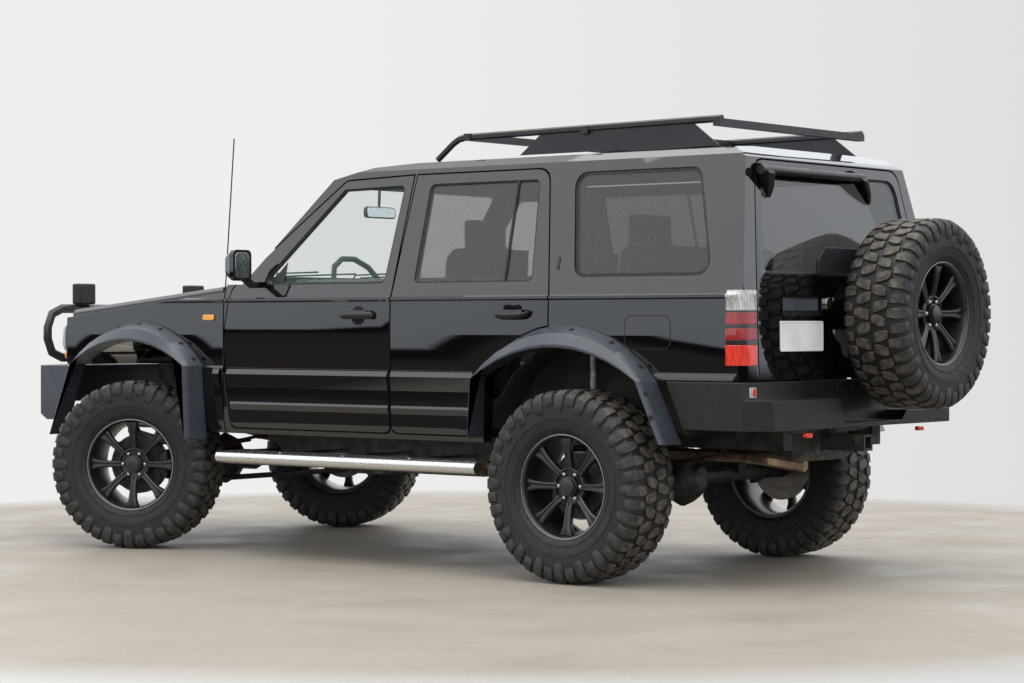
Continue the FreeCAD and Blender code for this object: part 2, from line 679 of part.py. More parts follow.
def rear_window_outline():
    edge = s.rear_window_margin
    trail = REAR_EDGE - s.rear_door_lean
    return [
        (PILLAR + edge, above(s.window_belt_rise), s.window_corner),
        (PILLAR + s.pillar_lean + edge - s.window_margin / 2, above(s.window_top_rise), s.window_corner),
        (trail - s.window_margin, above(s.window_top_rise), s.window_corner),
        (trail, above(s.window_belt_rise), s.window_corner),
    ]


def quarter_outline():
    lead = REAR - s.quarter_lead_from_axle
    trail = REAR + s.quarter_trail_from_axle
    return [
        (lead + s.quarter_lean_front, above(s.quarter_low_rise), s.quarter_corner),
        (lead, above(s.quarter_high_rise), s.quarter_corner),
        (trail - s.quarter_lean_rear, above(s.quarter_high_rise), s.quarter_corner),
        (trail, above(s.quarter_low_rise), s.quarter_corner),
    ]


def arch_points(x, arch, foot, inset_top, inset_side):
    """Outline of a wheel arch at one x: two legs and a round top drawn as chords."""
    axle, lead, trail, crown, top, shoulder, lead_foot, trail_foot = arch
    drop = (shoulder - foot) / (shoulder - s.sill_bottom)
    front_shoulder = V(x, axle - lead + inset_side, shoulder)
    rear_shoulder = V(x, axle + trail - inset_side, shoulder)
    front_foot = V(x, front_shoulder.y + (lead - lead_foot) * drop, foot)
    rear_foot = V(x, rear_shoulder.y + (trail_foot - trail) * drop, foot)
    over = Part.Arc(front_shoulder, V(x, axle + crown, top - inset_top), rear_shoulder).toShape()
    return [front_foot] + over.discretize(Number=int(s.arch_chords) + 1) + [rear_foot]


FRONT_ARCH = (FRONT, s.front_arch_lead, s.front_arch_trail, s.front_arch_crown, s.front_arch_top,
              s.front_arch_shoulder, s.front_arch_lead_foot, s.front_arch_trail_foot)
REAR_ARCH = (REAR, s.rear_arch_lead, s.rear_arch_trail, s.rear_arch_crown, s.rear_arch_top,
             s.rear_arch_shoulder, s.rear_arch_lead_foot, s.rear_arch_trail_foot)
ARCH_BOTTOM = s.sill_bottom - 2 * s.cut_overrun


def arch_prism(arch, inset, x_from, x_to, foot):
    """Solid of the wheel arch's outline, drawn in by an inset, between two x places."""
    outline = closed_wire(arch_points(x_from, arch, foot, inset, inset))
    return Part.Face(outline).extrude(V(x_to - x_from, 0, 0))


def flare(arch, foot):
    """One wide arch flare in two tiers, a sloping one on the body panel and an upright lip, open inside."""
    tiers = [arch_points(within(s.belt_ledge), arch, foot, 0, 0)]
    for out_share, in_share in flare_tier_shares:
        tiers.append(arch_points(s.body_half_width + s.flare_outset * out_share, arch, foot,
                                 s.flare_width * in_share, s.flare_leg * in_share))
    tunnel = arch_points(within(s.cut_overrun), arch, ARCH_BOTTOM, s.flare_width, s.flare_leg)
    tunnel = Part.Face(closed_wire(tunnel)).extrude(V(s.flare_outset + 2 * s.cut_overrun, 0, 0))
    return lofted(tiers).cut(tunnel).cut(SECTION_ROOM)


flare_tier_shares = ((0.08, 0.02), (0.74, 0.36), (1.0, 0.86))
SECTION_ROOM = section_solid(-s.running_gap, -s.running_gap, 0, *SPAN)


# Running gear

def wheel_axis(side, front):
    """Wheel centre and the outward turn about the upright axis, at rest."""
    turn = s.steer_at_rest if front else 0
    if not front:
        return V(side * s.wheel_track_half, REAR, TYRE_R), (0 if side > 0 else 180)
    kingpin = V(side * (s.wheel_track_half - s.kingpin_inset), FRONT, TYRE_R)
    angle = math.radians(turn)
    outward = V(side * math.cos(angle), side * math.sin(angle), 0)
    return kingpin + outward * s.kingpin_inset, turn + (0 if side > 0 else 180)


def placed(centre, turn):
    return FreeCAD.Placement(centre, FreeCAD.Rotation(V(0, 0, 1), turn))


def tyre_shape():
    """Off-road tyre in flat faces: tread band, staggered open shoulder lugs, side walls and beads."""
    faces = []
    for pitch in range(int(s.tyre_lug_count)):
        faces += tyre_pitch(pitch)
    return skinned(faces)


def wheel_point(x, radius, pitch, turn):
    """Corner on a many-sided wheel, a share of the way along one of its sides."""
    step = 2 * math.pi / s.tyre_lug_count
    start = V(x, radius * math.cos(step * pitch), radius * math.sin(step * pitch))
    end = V(x, radius * math.cos(step * (pitch + 1)), radius * math.sin(step * (pitch + 1)))
    return start + (end - start) * turn


def tyre_pitch(pitch):
    """Faces of one pitch: the groove between two lugs leads on one side and trails on the other."""
    r, root, edge = TYRE_R, s.tyre_tread_half, s.tyre_edge_half
    lug = [(edge, r), (s.tyre_shoulder_half, r - s.tyre_shoulder_drop),
           (s.tyre_width / 2, r - s.tyre_lug_height)]
    wall = [(s.tyre_width / 2, r - s.tyre_bulge_drop),
            (s.tyre_bead_half + s.rim_lip_width + s.running_gap, s.rim_lip_radius + s.tyre_bead_lip),
            (s.tyre_bead_half, s.tyre_bead_radius)]
    groove = tyre_groove_share
    places = ((-root, 0), (-root, groove), (-edge, groove), (-edge, 1), (-root, 1),
              (root, 1), (root, 1 - groove), (edge, 1 - groove), (edge, 0), (root, 0))
    faces = [[wheel_point(x, r, pitch, turn) for x, turn in places]]
    for side in (1, -1):
        low, high = (1 - groove, 1) if side > 0 else (0, groove)
        block_from, block_to = (0, 1 - groove) if side > 0 else (groove, 1)
        for (x0, r0), (x1, r1) in zip(lug, lug[1:]):
            faces.append(strip(side, x0, r0, x1, r1, pitch, block_from, block_to))
        faces.append(strip(side, root, r, *lug[-1], pitch, low, high))
        for turn in (low, high):
            faces.append([wheel_point(side * x, radius, pitch, turn) for x, radius in [(root, r)] + lug])
        top = [wheel_point(side * lug[-1][0], lug[-1][1], pitch, turn) for turn in (0, low or high, 1)]
        faces.append(top + [wheel_point(side * wall[0][0], wall[0][1], pitch, turn) for turn in (1, 0)])
        for (x0, r0), (x1, r1) in zip(wall, wall[1:]):
            faces.append(strip(side, x0, r0, x1, r1, pitch, 0, 1))
    x, radius = wall[-1]
    faces.append([wheel_point(x, radius, pitch, 0), wheel_point(x, radius, pitch, 1),
                  wheel_point(-x, radius, pitch, 1), wheel_point(-x, radius, pitch, 0)])
    return faces


def strip(side, x0, r0, x1, r1, pitch, start, end):
    """Four-cornered face along one side of the wheel, between two circles."""
    return [wheel_point(side * x0, r0, pitch, start), wheel_point(side * x0, r0, pitch, end),
            wheel_point(side * x1, r1, pitch, end), wheel_point(side * x1, r1, pitch, start)]


tyre_groove_share = 0.42


def rim_shape():
    """Alloy rim in flat faces: barrel with two lips, tapered spokes, hub boss and cap."""
    lip = s.tyre_bead_half + s.running_gap
    seat = s.tyre_bead_radius - s.running_gap
    inside = seat - s.rim_barrel_wall
    edge = lip + s.rim_lip_width
    barrel = turned([(-edge, s.rim_lip_radius), (-lip, seat), (lip, seat), (edge, s.rim_lip_radius),
                     (edge, inside), (-edge, inside)], s.tyre_lug_count)
    back, front, dish = s.rim_disc_back, s.rim_disc_back + s.rim_disc_thickness, s.rim_disc_dish
    hub = turned([(back, 0), (back, s.rim_hub_radius), (front, s.rim_hub_radius), (front, s.rim_cap_radius),
                  (front + s.rim_cap_height, s.rim_cap_radius), (front + s.rim_cap_height, 0)],
                  s.rim_spoke_count)
    pieces = [barrel, hub]
    reach = inside + s.rim_barrel_wall / 2
    start = s.rim_hub_radius - s.rim_disc_thickness
    for i in range(int(s.rim_spoke_count)):
        spoke = lofted([
            spoke_end(start, s.spoke_inner_half, back, front),
            spoke_end(reach, s.spoke_outer_half, back + dish, front + dish)])
        spoke.rotate(V(0, 0, 0), V(1, 0, 0), 360 / s.rim_spoke_count * (i + 0.5))
        pieces.append(spoke)
    return joined(pieces)


def spoke_end(radius, half, back, front):
    """One end of a spoke, narrower at its face than at its back."""
    face = half * spoke_face_share
    return [V(back, -half, radius), V(back, half, radius), V(front, face, radius), V(front, -face, radius)]


spoke_face_share = 0.6


def wheels():
    tyre = tyre_shape()
    rim = rim_shape()
    spare_centre = V(-s.spare_offset, REAR + s.rear_overhang - s.tyre_width / 2, s.spare_height)
    spots = {
        "front_left": wheel_axis(1, True), "front_right": wheel_axis(-1, True),
        "rear_left": wheel_axis(1, False), "rear_right": wheel_axis(-1, False),
        "spare": (spare_centre, 90),
    }
    for name, (centre, turn) in spots.items():
        for kind, shape in (("tyre", tyre), ("rim", rim)):
            keep(f"{kind}_{name}", shape, placed(centre, turn))


def knuckle(side, name):
    """Steering knuckle between the axle's yoke ears, with its spindle, brake and steering arm."""
    end = f"{side} * steer_arm_length"
    run = ("0", end) if side > 0 else (end, "0")
    solids = [
        bar(f"{name}_pin", "z", ("0", "0", "-knuckle_height / 2"), "knuckle_height", "knuckle_radius"),
        bar(f"{name}_spindle", "x", ("0", "0", "0"), "kingpin_inset + rim_disc_back - running_gap",
            "spindle_radius"),
        bar(f"{name}_brake", "x", ("kingpin_inset - brake_offset", "0", "0"), "brake_thickness",
            "brake_radius"),
        box(f"{name}_arm", ("-steer_arm_width / 2", "steer_arm_width / 2"), run,
            ("-steer_arm_drop", "steer_arm_thickness - steer_arm_drop")),
        bar(f"{name}_eye", "z", ("0", end, "-steer_arm_drop"), "steer_arm_thickness",
            "steer_arm_width / 2"),
        bar(f"{name}_ball", "z", ("0", end, "-steer_arm_drop - tie_rod_eye_radius * 2"),
            "tie_rod_eye_radius * 2",
            "tie_pin_radius")]
    turn = "steer_at_rest" if side > 0 else "steer_at_rest + 180"
    shape = bind(fused(name, solids), Placement__Base__x=f"{side} * (wheel_track_half - kingpin_inset)",
                 Placement__Base__y="front_axle", Placement__Base__z="axle_height")
    piece(name, bind(shape, Placement__Rotation__Angle=turn))


def cylinder_z(x, y, z, radius, height):
    return rod(V(x, y, z), V(x, y, z + height), radius)


def tie_rod():
    """Track rod between the knuckles' steering arms, with an eye at each end."""
    shift = "steer_arm_length * sin(steer_at_rest * 1 deg)"
    y = "front_axle + steer_arm_length * cos(steer_at_rest * 1 deg)"
    z = "axle_height - steer_arm_drop - tie_rod_eye_radius"
    reach = "(wheel_track_half - kingpin_inset)"
    high = "(2 * tie_rod_radius + tie_rod_eye_wall)"
    solids = [bar("track_bar", "x", (f"-{reach} - {shift}", y, z), f"2 * {reach}", "tie_rod_radius")]
    holes = []
    for side in (-1, 1):
        x = f"{side} * {reach} - {shift}"
        solids.append(bar("track_eye", "z", (x, y, f"{z} - {high} / 2"), high, "tie_rod_eye_radius"))
        holes.append(bar("track_hole", "z", (x, y, f"{z} - {high}"), f"2 * {high}",
                         "(tie_pin_radius + running_gap / 4) / cos(180 deg / rod_sides)"))
    piece("tie_rod", less("tie_rod", fused("tie_rod_solid", solids), holes))


def axles():
    """Both live axles: tubes, differential housings, pinion noses, yokes in front and hubs behind."""
    kingpin = s.wheel_track_half - s.kingpin_inset
    z = TYRE_R
    yoke_end = kingpin + s.yoke_width / 2
    web = kingpin - s.knuckle_radius - s.yoke_clearance
    half = s.knuckle_height / 2 + s.running_gap
    front = [rod(V(-web, FRONT, z), V(web, FRONT, z), s.axle_tube_radius)]
    ears = []
    for level in (z + half, z - half - s.yoke_thickness):
        ears.append(block(web - s.yoke_thickness, yoke_end, FRONT - s.yoke_width / 2,
                          FRONT + s.yoke_width / 2,
                          level, level + s.yoke_thickness))
    ears.append(block(web - s.yoke_thickness, web, FRONT - s.yoke_width / 2, FRONT + s.yoke_width / 2,
                      z - half, z + half))
    yoke = joined(ears)
    front += both_sides(yoke)
    front.append(differential(V(s.front_diff_offset, FRONT, z), 1))
    hub = s.wheel_track_half + s.rim_disc_back - s.running_gap
    rear = [rod(V(-hub, REAR, z), V(hub, REAR, z), s.axle_tube_radius)]
    rear.append(differential(V(s.rear_diff_offset, REAR, z), -1))
    drum_from = s.wheel_track_half - s.brake_offset
    rear += both_sides(rod(V(drum_from, REAR, z), V(drum_from + s.brake_thickness, REAR, z),
                           s.brake_radius))
    seats = []
    for y in (FRONT, REAR):
        for side in (1, -1):
            top = z + s.axle_tube_radius + s.leaf_seat_height
            seats.append(block(side * s.rail_offset - s.leaf_width / 2,
                               side * s.rail_offset + s.leaf_width / 2,
                               y - s.leaf_width, y + s.leaf_width, z, top))
            foot = shock_ends(side, y)[0]
            seats.append(block(foot.x - s.shock_radius, foot.x + s.shock_radius, min(y, foot.y),
                               max(y, foot.y), foot.z - s.shock_radius, foot.z))
    front_set = joined(front + [p for p in seats if p.CenterOfMass.y < (FRONT + REAR) / 2])
    rear_set = joined(rear + [p for p in seats if p.CenterOfMass.y > (FRONT + REAR) / 2])
    keep("axles", several([front_set, rear_set]))


def differential(centre, way):
    """Housing of an axle's gears, turned about the pinion: domed cover, flange and pinion nose."""
    radius, cover = s.diff_radius, s.diff_cover_depth
    profile = [(cover * x_share, radius * radius_share) for x_share, radius_share in diff_cover_shares]
    profile += [(-s.diff_flange, radius), (s.diff_flange, radius), (cover, s.pinion_radius),
                (s.pinion_length, s.pinion_radius), (s.pinion_length, 0)]
    housing = turned(profile, s.rod_sides)
    housing.rotate(V(0, 0, 0), V(0, 0, 1), 90 * way)
    housing.translate(centre)
    return housing


diff_cover_shares = ((-1, 0), (-1, 0.4), (-0.6, 0.82))


def shock_ends(side, y):
    inward = 1 if y < (FRONT + REAR) / 2 else -1
    offset = s.shock_offset if inward > 0 else s.rear_shock_offset
    foot = V(side * offset, y + inward * s.shock_setback, TYRE_R)
    return foot, V(foot.x, foot.y, s.shock_top)


def shock_absorbers():
    """Four dampers, each a body on the axle with its thinner rod up to the chassis."""
    solids = []
    for axle, way, offset in (("front_axle", 1, "shock_offset"), ("rear_axle", -1, "rear_shock_offset")):
        y = f"{axle} + {way} * shock_setback"
        low = "axle_height + running_gap"
        run = f"(shock_top - ({low}))"
        body = bar("damper_body", "z", (offset, y, low), f"{run} * {shock_body_share}", "shock_radius")
        stem = bar("damper_rod", "z", (offset, y, f"{low} + {run} * {shock_body_share}"),
                   f"{run} * (1 - {shock_body_share})", "shock_rod_radius")
        damper = fused("damper", [body, stem])
        solids += [damper, other_side(damper)]
    piece("shock_absorbers", grouped("shock_absorbers", solids))


shock_body_share = 0.55


def leaf_springs():
    """Packs of arched leaves, the longest on top with a rolled eye at each end."""
    shapes = []
    for y in (FRONT, REAR):
        pack = leaf_pack(y)
        for end in (-1, 1):
            x, eye_y = s.rail_offset - s.leaf_width / 2, y + end * s.leaf_half_length
            pack.append(rod(V(x, eye_y, LEAF_EYE), V(x + s.leaf_width, eye_y, LEAF_EYE), s.leaf_eye_radius))
        shapes += both_sides(joined(pack))
    keep("leaf_springs", several(shapes))


LEAF_EYE = s.rail_raised - s.leaf_eye_radius - s.running_gap


def leaf_pack(y):
    """The leaves as one stepped, arched bar."""
    count = int(s.leaf_count)
    low = TYRE_R + s.axle_tube_radius + s.leaf_seat_height + s.running_gap
    top = low + count * s.leaf_thickness
    rise = LEAF_EYE + s.leaf_thickness / 2 - top
    reaches = [s.leaf_half_length - i * s.leaf_step for i in range(count)]
    upper = [(run, top + rise * (run / reaches[0]) ** 2) for run in reaches]
    under = []
    for i, run in enumerate(reaches):
        lift = rise * (run / reaches[0]) ** 2
        if i > 0:
            under.append((run, top - i * s.leaf_thickness + lift))
        under.append((run, top - (i + 1) * s.leaf_thickness + lift))
    half = upper[::-1] + under
    outline = [(y + run, z) for run, z in half] + [(y - run, z) for run, z in half[::-1]]
    x = s.rail_offset - s.leaf_width / 2
    return [side_prism(outline, x, x + s.leaf_width)]


def chassis_frame():
    """Ladder frame: two stepped rails, round cross members and the tow receiver."""
    front, rear = "front_axle - rail_front_reach", "rear_axle + rail_rear_reach"
    drop, lift = "front_axle + rail_front_run", "rear_axle - rail_rear_run"
    high, low = "rail_raised", "rail_low"
    outline = [(front, high), (drop, high), (f"{drop} + rail_kick", low), (f"{lift} - rail_kick", low),
               (lift, high), (rear, high), (rear, f"{high} + rail_depth"), (lift, f"{high} + rail_depth"),
               (f"{lift} - rail_kick", f"{low} + rail_depth"),
               (f"{drop} + rail_kick", f"{low} + rail_depth"), (drop, f"{high} + rail_depth"),
               (front, f"{high} + rail_depth")]
    rail = drawn("rail", "side", outline, "rail_offset - rail_width / 2", "rail_offset + rail_width / 2")
    solids = [rail, other_side(rail)]
    case_end = "front_axle - engine_front + engine_length + gearbox_length"
    for y, z in ((f"{front} + rail_width", high), (f"{case_end} + rail_width", low),
                 (f"{lift} - 2 * rail_kick", low),
                 ("rear_axle + rail_width * 2", high), (f"{rear} - cross_member_radius", high)):
        solids.append(bar("cross_member", "x", ("-rail_offset", y, f"{z} + rail_depth - hanger_radius"),
                          "2 * rail_offset", "hanger_radius"))
    end = "rear_axle + hitch_end_from_axle"
    across = ("-hitch_half", "hitch_half")
    root = f"{rear} - 2 * hanger_radius"
    solids.append(box("tow_receiver", across, (root, end),
                      ("hitch_height - hitch_half", "hitch_height + hitch_half")))
    solids.append(box("receiver_hanger", across, (root, rear),
                      ("hitch_height", f"{high} + rail_depth - hanger_radius")))
    bore = box("receiver_bore", ("-hitch_bore_half", "hitch_bore_half"),
               (f"{end} - hitch_length", f"{end} + cut_overrun"),
               ("hitch_height - hitch_bore_half", "hitch_height + hitch_bore_half"))
    pin = doc.addObject("Part::Cylinder", "receiver_pin_hole")
    pin.Placement = FreeCAD.Placement(V(0, 0, 0), BAR_TURNS["x"])
    bind(pin, Radius="hitch_pin_radius", Height="4 * hitch_half", Placement__Base__x="-2 * hitch_half",
         Placement__Base__y=f"{end} - hitch_length / 3", Placement__Base__z="hitch_height")
    piece("chassis_frame", less("chassis_frame", fused("chassis_solid", solids), [bore, pin]))


def powertrain():
    """Engine as one plain block, gearbox, transfer case and both propeller shafts."""
    front = "front_axle - engine_front"
    rear = f"{front} + engine_length"
    end = f"{rear} + gearbox_length"
    solids = [box("engine_block", ("-engine_width / 2", "engine_width / 2"), (front, rear),
                  ("engine_bottom", "engine_bottom + engine_height")),
              bar("gearbox", "y", ("0", rear, "gearbox_height"), "gearbox_length", "gearbox_radius"),
              box("transfer_case",
                  ("front_diff_offset - transfer_width", "front_diff_offset + 2 * propshaft_radius"),
                  (f"{end} - transfer_length", end),
                  ("gearbox_height - transfer_height", "gearbox_height + propshaft_radius"))]
    piece("powertrain", fused("powertrain", solids))
    box_end = FRONT - s.engine_front + s.engine_length + s.gearbox_length
    shaft_z = s.gearbox_height - s.transfer_height + s.propshaft_radius * 2
    front_shaft = propshaft(V(s.front_diff_offset, box_end - s.transfer_length, shaft_z),
                            V(s.front_diff_offset, FRONT + s.pinion_length, TYRE_R))
    rear_shaft = propshaft(V(0, box_end, shaft_z), V(s.rear_diff_offset, REAR - s.pinion_length, TYRE_R))
    keep("propshafts", several([front_shaft, rear_shaft]))


def propshaft(start, end):
    """Tube between two flanges, short enough at each end that its tilted face stays clear."""
    way = (end - start).normalize()
    tilt = math.hypot(way.x, way.z)
    trim = way * (s.running_gap + s.propshaft_radius * tilt)
    return rod(start + trim, end - trim, s.propshaft_radius)


def fuel_tank():
    """Tank between the rails, behind the rear axle, with bevelled edges."""
    tank = box("tank_block", ("-tank_offset - tank_width / 2", "tank_width / 2 - tank_offset"),
               ("rear_axle + tank_from_axle", "rear_axle + tank_from_axle + tank_length"),
               ("tank_bottom", "tank_bottom + tank_height"))
    doc.recompute()
    bevel = doc.addObject("Part::Chamfer", "fuel_tank")
    bevel.Base = tank
    bevel.Edges = [(i, s.tank_corner, s.tank_corner) for i in range(1, len(tank.Shape.Edges) + 1)]
    piece("fuel_tank", bevel)


def exhaust():
    """Pipe from the engine under the floor, a silencer, and a tail pipe over the axle to the rear."""
    x = s.exhaust_x
    low = s.exhaust_height
    y0 = FRONT - s.engine_front + s.engine_length + s.shut_gap
    middle = (FRONT + REAR) / 2
    points = [
        V(x, y0, low), V(x, REAR - s.exhaust_rise_from_axle, low),
        V(x, REAR - s.exhaust_rise_from_axle / 2, s.exhaust_arch_height),
        V(x, REAR + s.exhaust_drop_from_axle, s.exhaust_arch_height),
        V(s.exhaust_tip_x, REAR + s.exhaust_swing_from_axle, s.exhaust_exit_height),
        V(s.exhaust_tip_x, REAR + s.exhaust_end_from_axle, s.exhaust_tip_height)]
    pipe = bent_tube(points, s.exhaust_radius, [s.exhaust_bend] * 4)
    muffler = rod(V(x, middle, low), V(x, middle + s.muffler_length, low), s.muffler_radius)
    keep("exhaust", joined([pipe, muffler]))


# Body pieces

def door_cut(grow):
    """The room that the rear flare takes out of the rear door."""
    x = within(s.eave_inset) - s.door_wall
    return arch_prism(REAR_ARCH, -grow, x, BOUND + s.cut_overrun, ARCH_BOTTOM)


def doors():
    """Four doors cut from the body's wall, each with its window opening, handle and pane."""
    for place, outline, window in (("front", front_door_outline(), front_window_outline()),
                                   ("rear", rear_door_outline(), rear_window_outline())):
        plug = tapered_side(outline, 0)
        panel = SIDE.common(plug)
        opening = side_prism(window, within(s.eave_inset) - 2 * s.door_wall, BOUND)
        panel = panel.cut(opening)
        if place == "rear":
            panel = panel.cut(door_cut(s.shut_gap))
        pane_room = side_prism(grown(window, -s.running_gap), within(s.eave_inset) - 2 * s.door_wall, BOUND)
        pane = PANE.common(pane_room)
        rear_y = max(p[0] for p in outline[-2:]) - s.handle_setback
        handle = door_handle(rear_y if place == "front" else REAR_EDGE - s.handle_setback)
        pieces = [panel, handle]
        if place == "front":
            pieces.append(mirror())
        panel = joined(pieces)
        for side, shape, glass in (("left", panel, pane), ("right", mirrored(panel), mirrored(pane))):
            keep(f"door_{place}_{side}", shape)
            keep(f"door_glass_{place}_{side}", glass)


def door_handle(y_end):
    """Pull bar through the door's skin."""
    x, z = s.body_half_width, above(-s.handle_drop)
    return block(x - s.handle_depth, x + s.handle_depth, y_end - s.handle_width, y_end,
                 z - s.handle_thickness / 2, z + s.handle_thickness / 2)


def mirror():
    """Door mirror: a thin arm on the door's front corner and a housing that narrows to the front."""
    x = s.body_half_width + s.mirror_stand
    y = LEAD + s.mirror_setback
    low = above(s.mirror_low_rise)
    wide, tall, corner = s.mirror_width, s.mirror_height, s.mirror_corner
    loops = []
    for share, back in mirror_taper_shares:
        trim_x, trim_z = wide * (1 - share) / 2, tall * (1 - share) / 2
        outline = [(x + trim_x, low + trim_z, corner), (x + wide - trim_x, low + trim_z, corner),
                   (x + wide - trim_x, low + tall - trim_z, corner),
                   (x + trim_x, low + tall - trim_z, corner)]
        loops.append([V(p.x, y - s.mirror_depth * back, p.y) for p in rounded_points(outline)])
    arm_y = y - s.mirror_depth
    arm = lofted([
        front_quad(within(s.belt_ledge) - s.frame_wall / 2, arm_y, low - s.mirror_foot_drop,
                   s.mirror_foot_height),
        front_quad(x + corner, arm_y, low + s.mirror_foot_height / 2, s.mirror_foot_height)])
    return joined([lofted(loops), arm])


mirror_taper_shares = ((1, 0), (1, 0.35), (0.72, 1))


def front_quad(x, y, low, height):
    """Upright four-cornered outline at one x, as deep as the mirror's arm."""
    return [V(x, y, low), V(x, y + s.mirror_arm_depth, low), V(x, y + s.mirror_arm_depth, low + height),
            V(x, y, low + height)]


def body_shell():
    """Cabin shell: roof, pillars, sills and quarter panels, with door, tailgate and window openings."""
    shell = SKIN
    for outline in (front_door_outline(), rear_door_outline()):
        room = tapered_side(outline, s.shut_gap).cut(DEEP)
        if outline[0][0] == PILLAR:
            room = room.cut(door_cut(0))
        shell = shell.cut(several(both_sides(room)))
    windows = side_prism(quarter_outline(), within(s.eave_inset) - 2 * s.door_wall, BOUND)
    shell = shell.cut(several(both_sides(windows)))
    shell = shell.cut(gate_plug(s.shut_gap))
    shell = shell.cut(screen_prism(0))
    wheel_room = arch_prism(REAR_ARCH, s.arch_margin, s.rear_liner_inner, BOUND, ARCH_BOTTOM)
    shell = shell.cut(several(both_sides(wheel_room)))
    under = block(-BOUND, BOUND, REAR, REAR + s.rear_overhang, 0, s.tail_bottom)
    shell = shell.cut(under)
    half = s.body_half_width - s.door_wall
    floor_room = block(-half, half, FRONT, REAR + s.rear_overhang, 0,
                       s.floor_height + s.floor_thickness + s.shut_gap)
    keep("body_shell", shell.cut(floor_room).cut(several(both_sides(lamp_room(0)))))


def gate_outline():
    return [(within(s.gate_low_inset), s.gate_bottom, 0), (within(s.gate_belt_inset), s.belt_height, 0),
            (within(s.gate_top_inset), above(s.gate_top_rise), s.gate_corner),
            (-within(s.gate_top_inset), above(s.gate_top_rise), s.gate_corner),
            (-within(s.gate_belt_inset), s.belt_height, 0), (-within(s.gate_low_inset), s.gate_bottom, 0)]


def gate_window():
    return [
        (within(s.gate_window_low_inset), above(s.gate_window_low_rise), s.gate_window_corner / 2),
        (within(s.gate_window_top_inset), above(s.gate_window_high_rise), s.gate_window_corner),
        (-within(s.gate_window_top_inset), above(s.gate_window_high_rise), s.gate_window_corner),
        (-within(s.gate_window_low_inset), above(s.gate_window_low_rise), s.gate_window_corner / 2)]


def gate_plug(grow):
    """Tailgate-shaped plug, larger outside than inside."""
    y_out = REAR + s.tail_bottom_from_axle + s.running_gap
    depth = s.tail_bottom_from_axle - s.tail_top_from_axle + 2 * s.gate_wall
    loops = [[V(p.x, y, p.y) for p in rounded_points(grown(gate_outline(), grow - trim))]
             for trim, y in ((s.door_taper, y_out - depth), (0, y_out))]
    return lofted(loops)


def tailgate():
    """Side-hinged tailgate with its window opening and a recessed pull, and its pane."""
    panel = SKIN.common(gate_plug(0))
    y = REAR + s.tail_bottom_from_axle
    opening = front_prism(gate_window(), REAR + s.roof_rear_from_axle - s.gate_wall, y + s.cut_overrun)
    half_w, half_h = s.gate_pocket_width / 2, s.gate_pocket_height / 2
    x, z = s.gate_pocket_x, s.gate_pocket_z
    pocket = block(x - half_w, x + half_w, y - s.gate_pocket_depth, y + s.cut_overrun, z - half_h,
                   z + half_h)
    keep("tailgate", panel.cut(several([opening, pocket])))
    room = front_prism(grown(gate_window(), -s.running_gap), REAR + s.roof_rear_from_axle - s.gate_wall,
                       y + s.cut_overrun)
    keep("tailgate_glass", PANE.common(room))


def spare_carrier():
    """Steel plate on the tailgate with a drum that the spare wheel bolts to."""
    x, z = "-spare_offset", "spare_height"
    y = "rear_axle + tail_bottom_from_axle + running_gap"
    face = ("rear_axle + tail_bottom_from_axle + running_gap", f"{y} + carrier_plate")
    mount = "rear_axle + rear_overhang - tyre_width / 2 + rim_disc_back - running_gap"
    edge = f"{x} + carrier_width / 2"
    low = f"{z} + carrier_height / 2 - carrier_wing_overlap"
    high = f"{low} + carrier_wing_height"
    tip = f"{edge} + carrier_wing_width"
    solids = [
        box("carrier_plate_block", (f"{x} - carrier_width / 2", edge), face,
            (f"{z} - carrier_height / 2", f"{z} + carrier_height / 2")),
        bar("carrier_drum", "y", (x, y, z), f"{mount} - ({y})", "carrier_drum_radius"),
        drawn("carrier_wing", "front", [(edge, low), (tip, low), (tip, f"{high} - carrier_wing_corner"),
                                        (f"{tip} - carrier_wing_corner", high), (edge, high)], *face),
        box("carrier_foot", (x, f"{edge} + 2 * carrier_plate"), face, (low, high))]
    piece("spare_carrier", fused("spare_carrier", solids))


def screen_prism(shrink):
    """Room for the windscreen, through the body's front slope."""
    low = above(s.cowl_rise) + s.screen_margin + shrink
    high = above(s.screen_top_rise) - s.screen_margin - shrink
    half_low = within(s.belt_ledge) - s.screen_pillar - shrink
    half_high = within(s.eave_inset) - s.screen_pillar - shrink
    outline = [(half_low, low, s.screen_corner), (half_high, high, s.screen_corner),
               (-half_high, high, s.screen_corner), (-half_low, low, s.screen_corner)]
    return front_prism(outline, FRONT + s.cowl_from_axle - s.cut_overrun,
                       FRONT + s.roof_front_from_axle + s.cut_overrun)


def fixed_glass():
    screen = PANE.common(screen_prism(s.running_gap))
    quarter = PANE.common(side_prism(grown(quarter_outline(), -s.running_gap),
                                     within(s.eave_inset) - 2 * s.door_wall, BOUND))
    keep("fixed_glass", several([screen] + both_sides(quarter)))


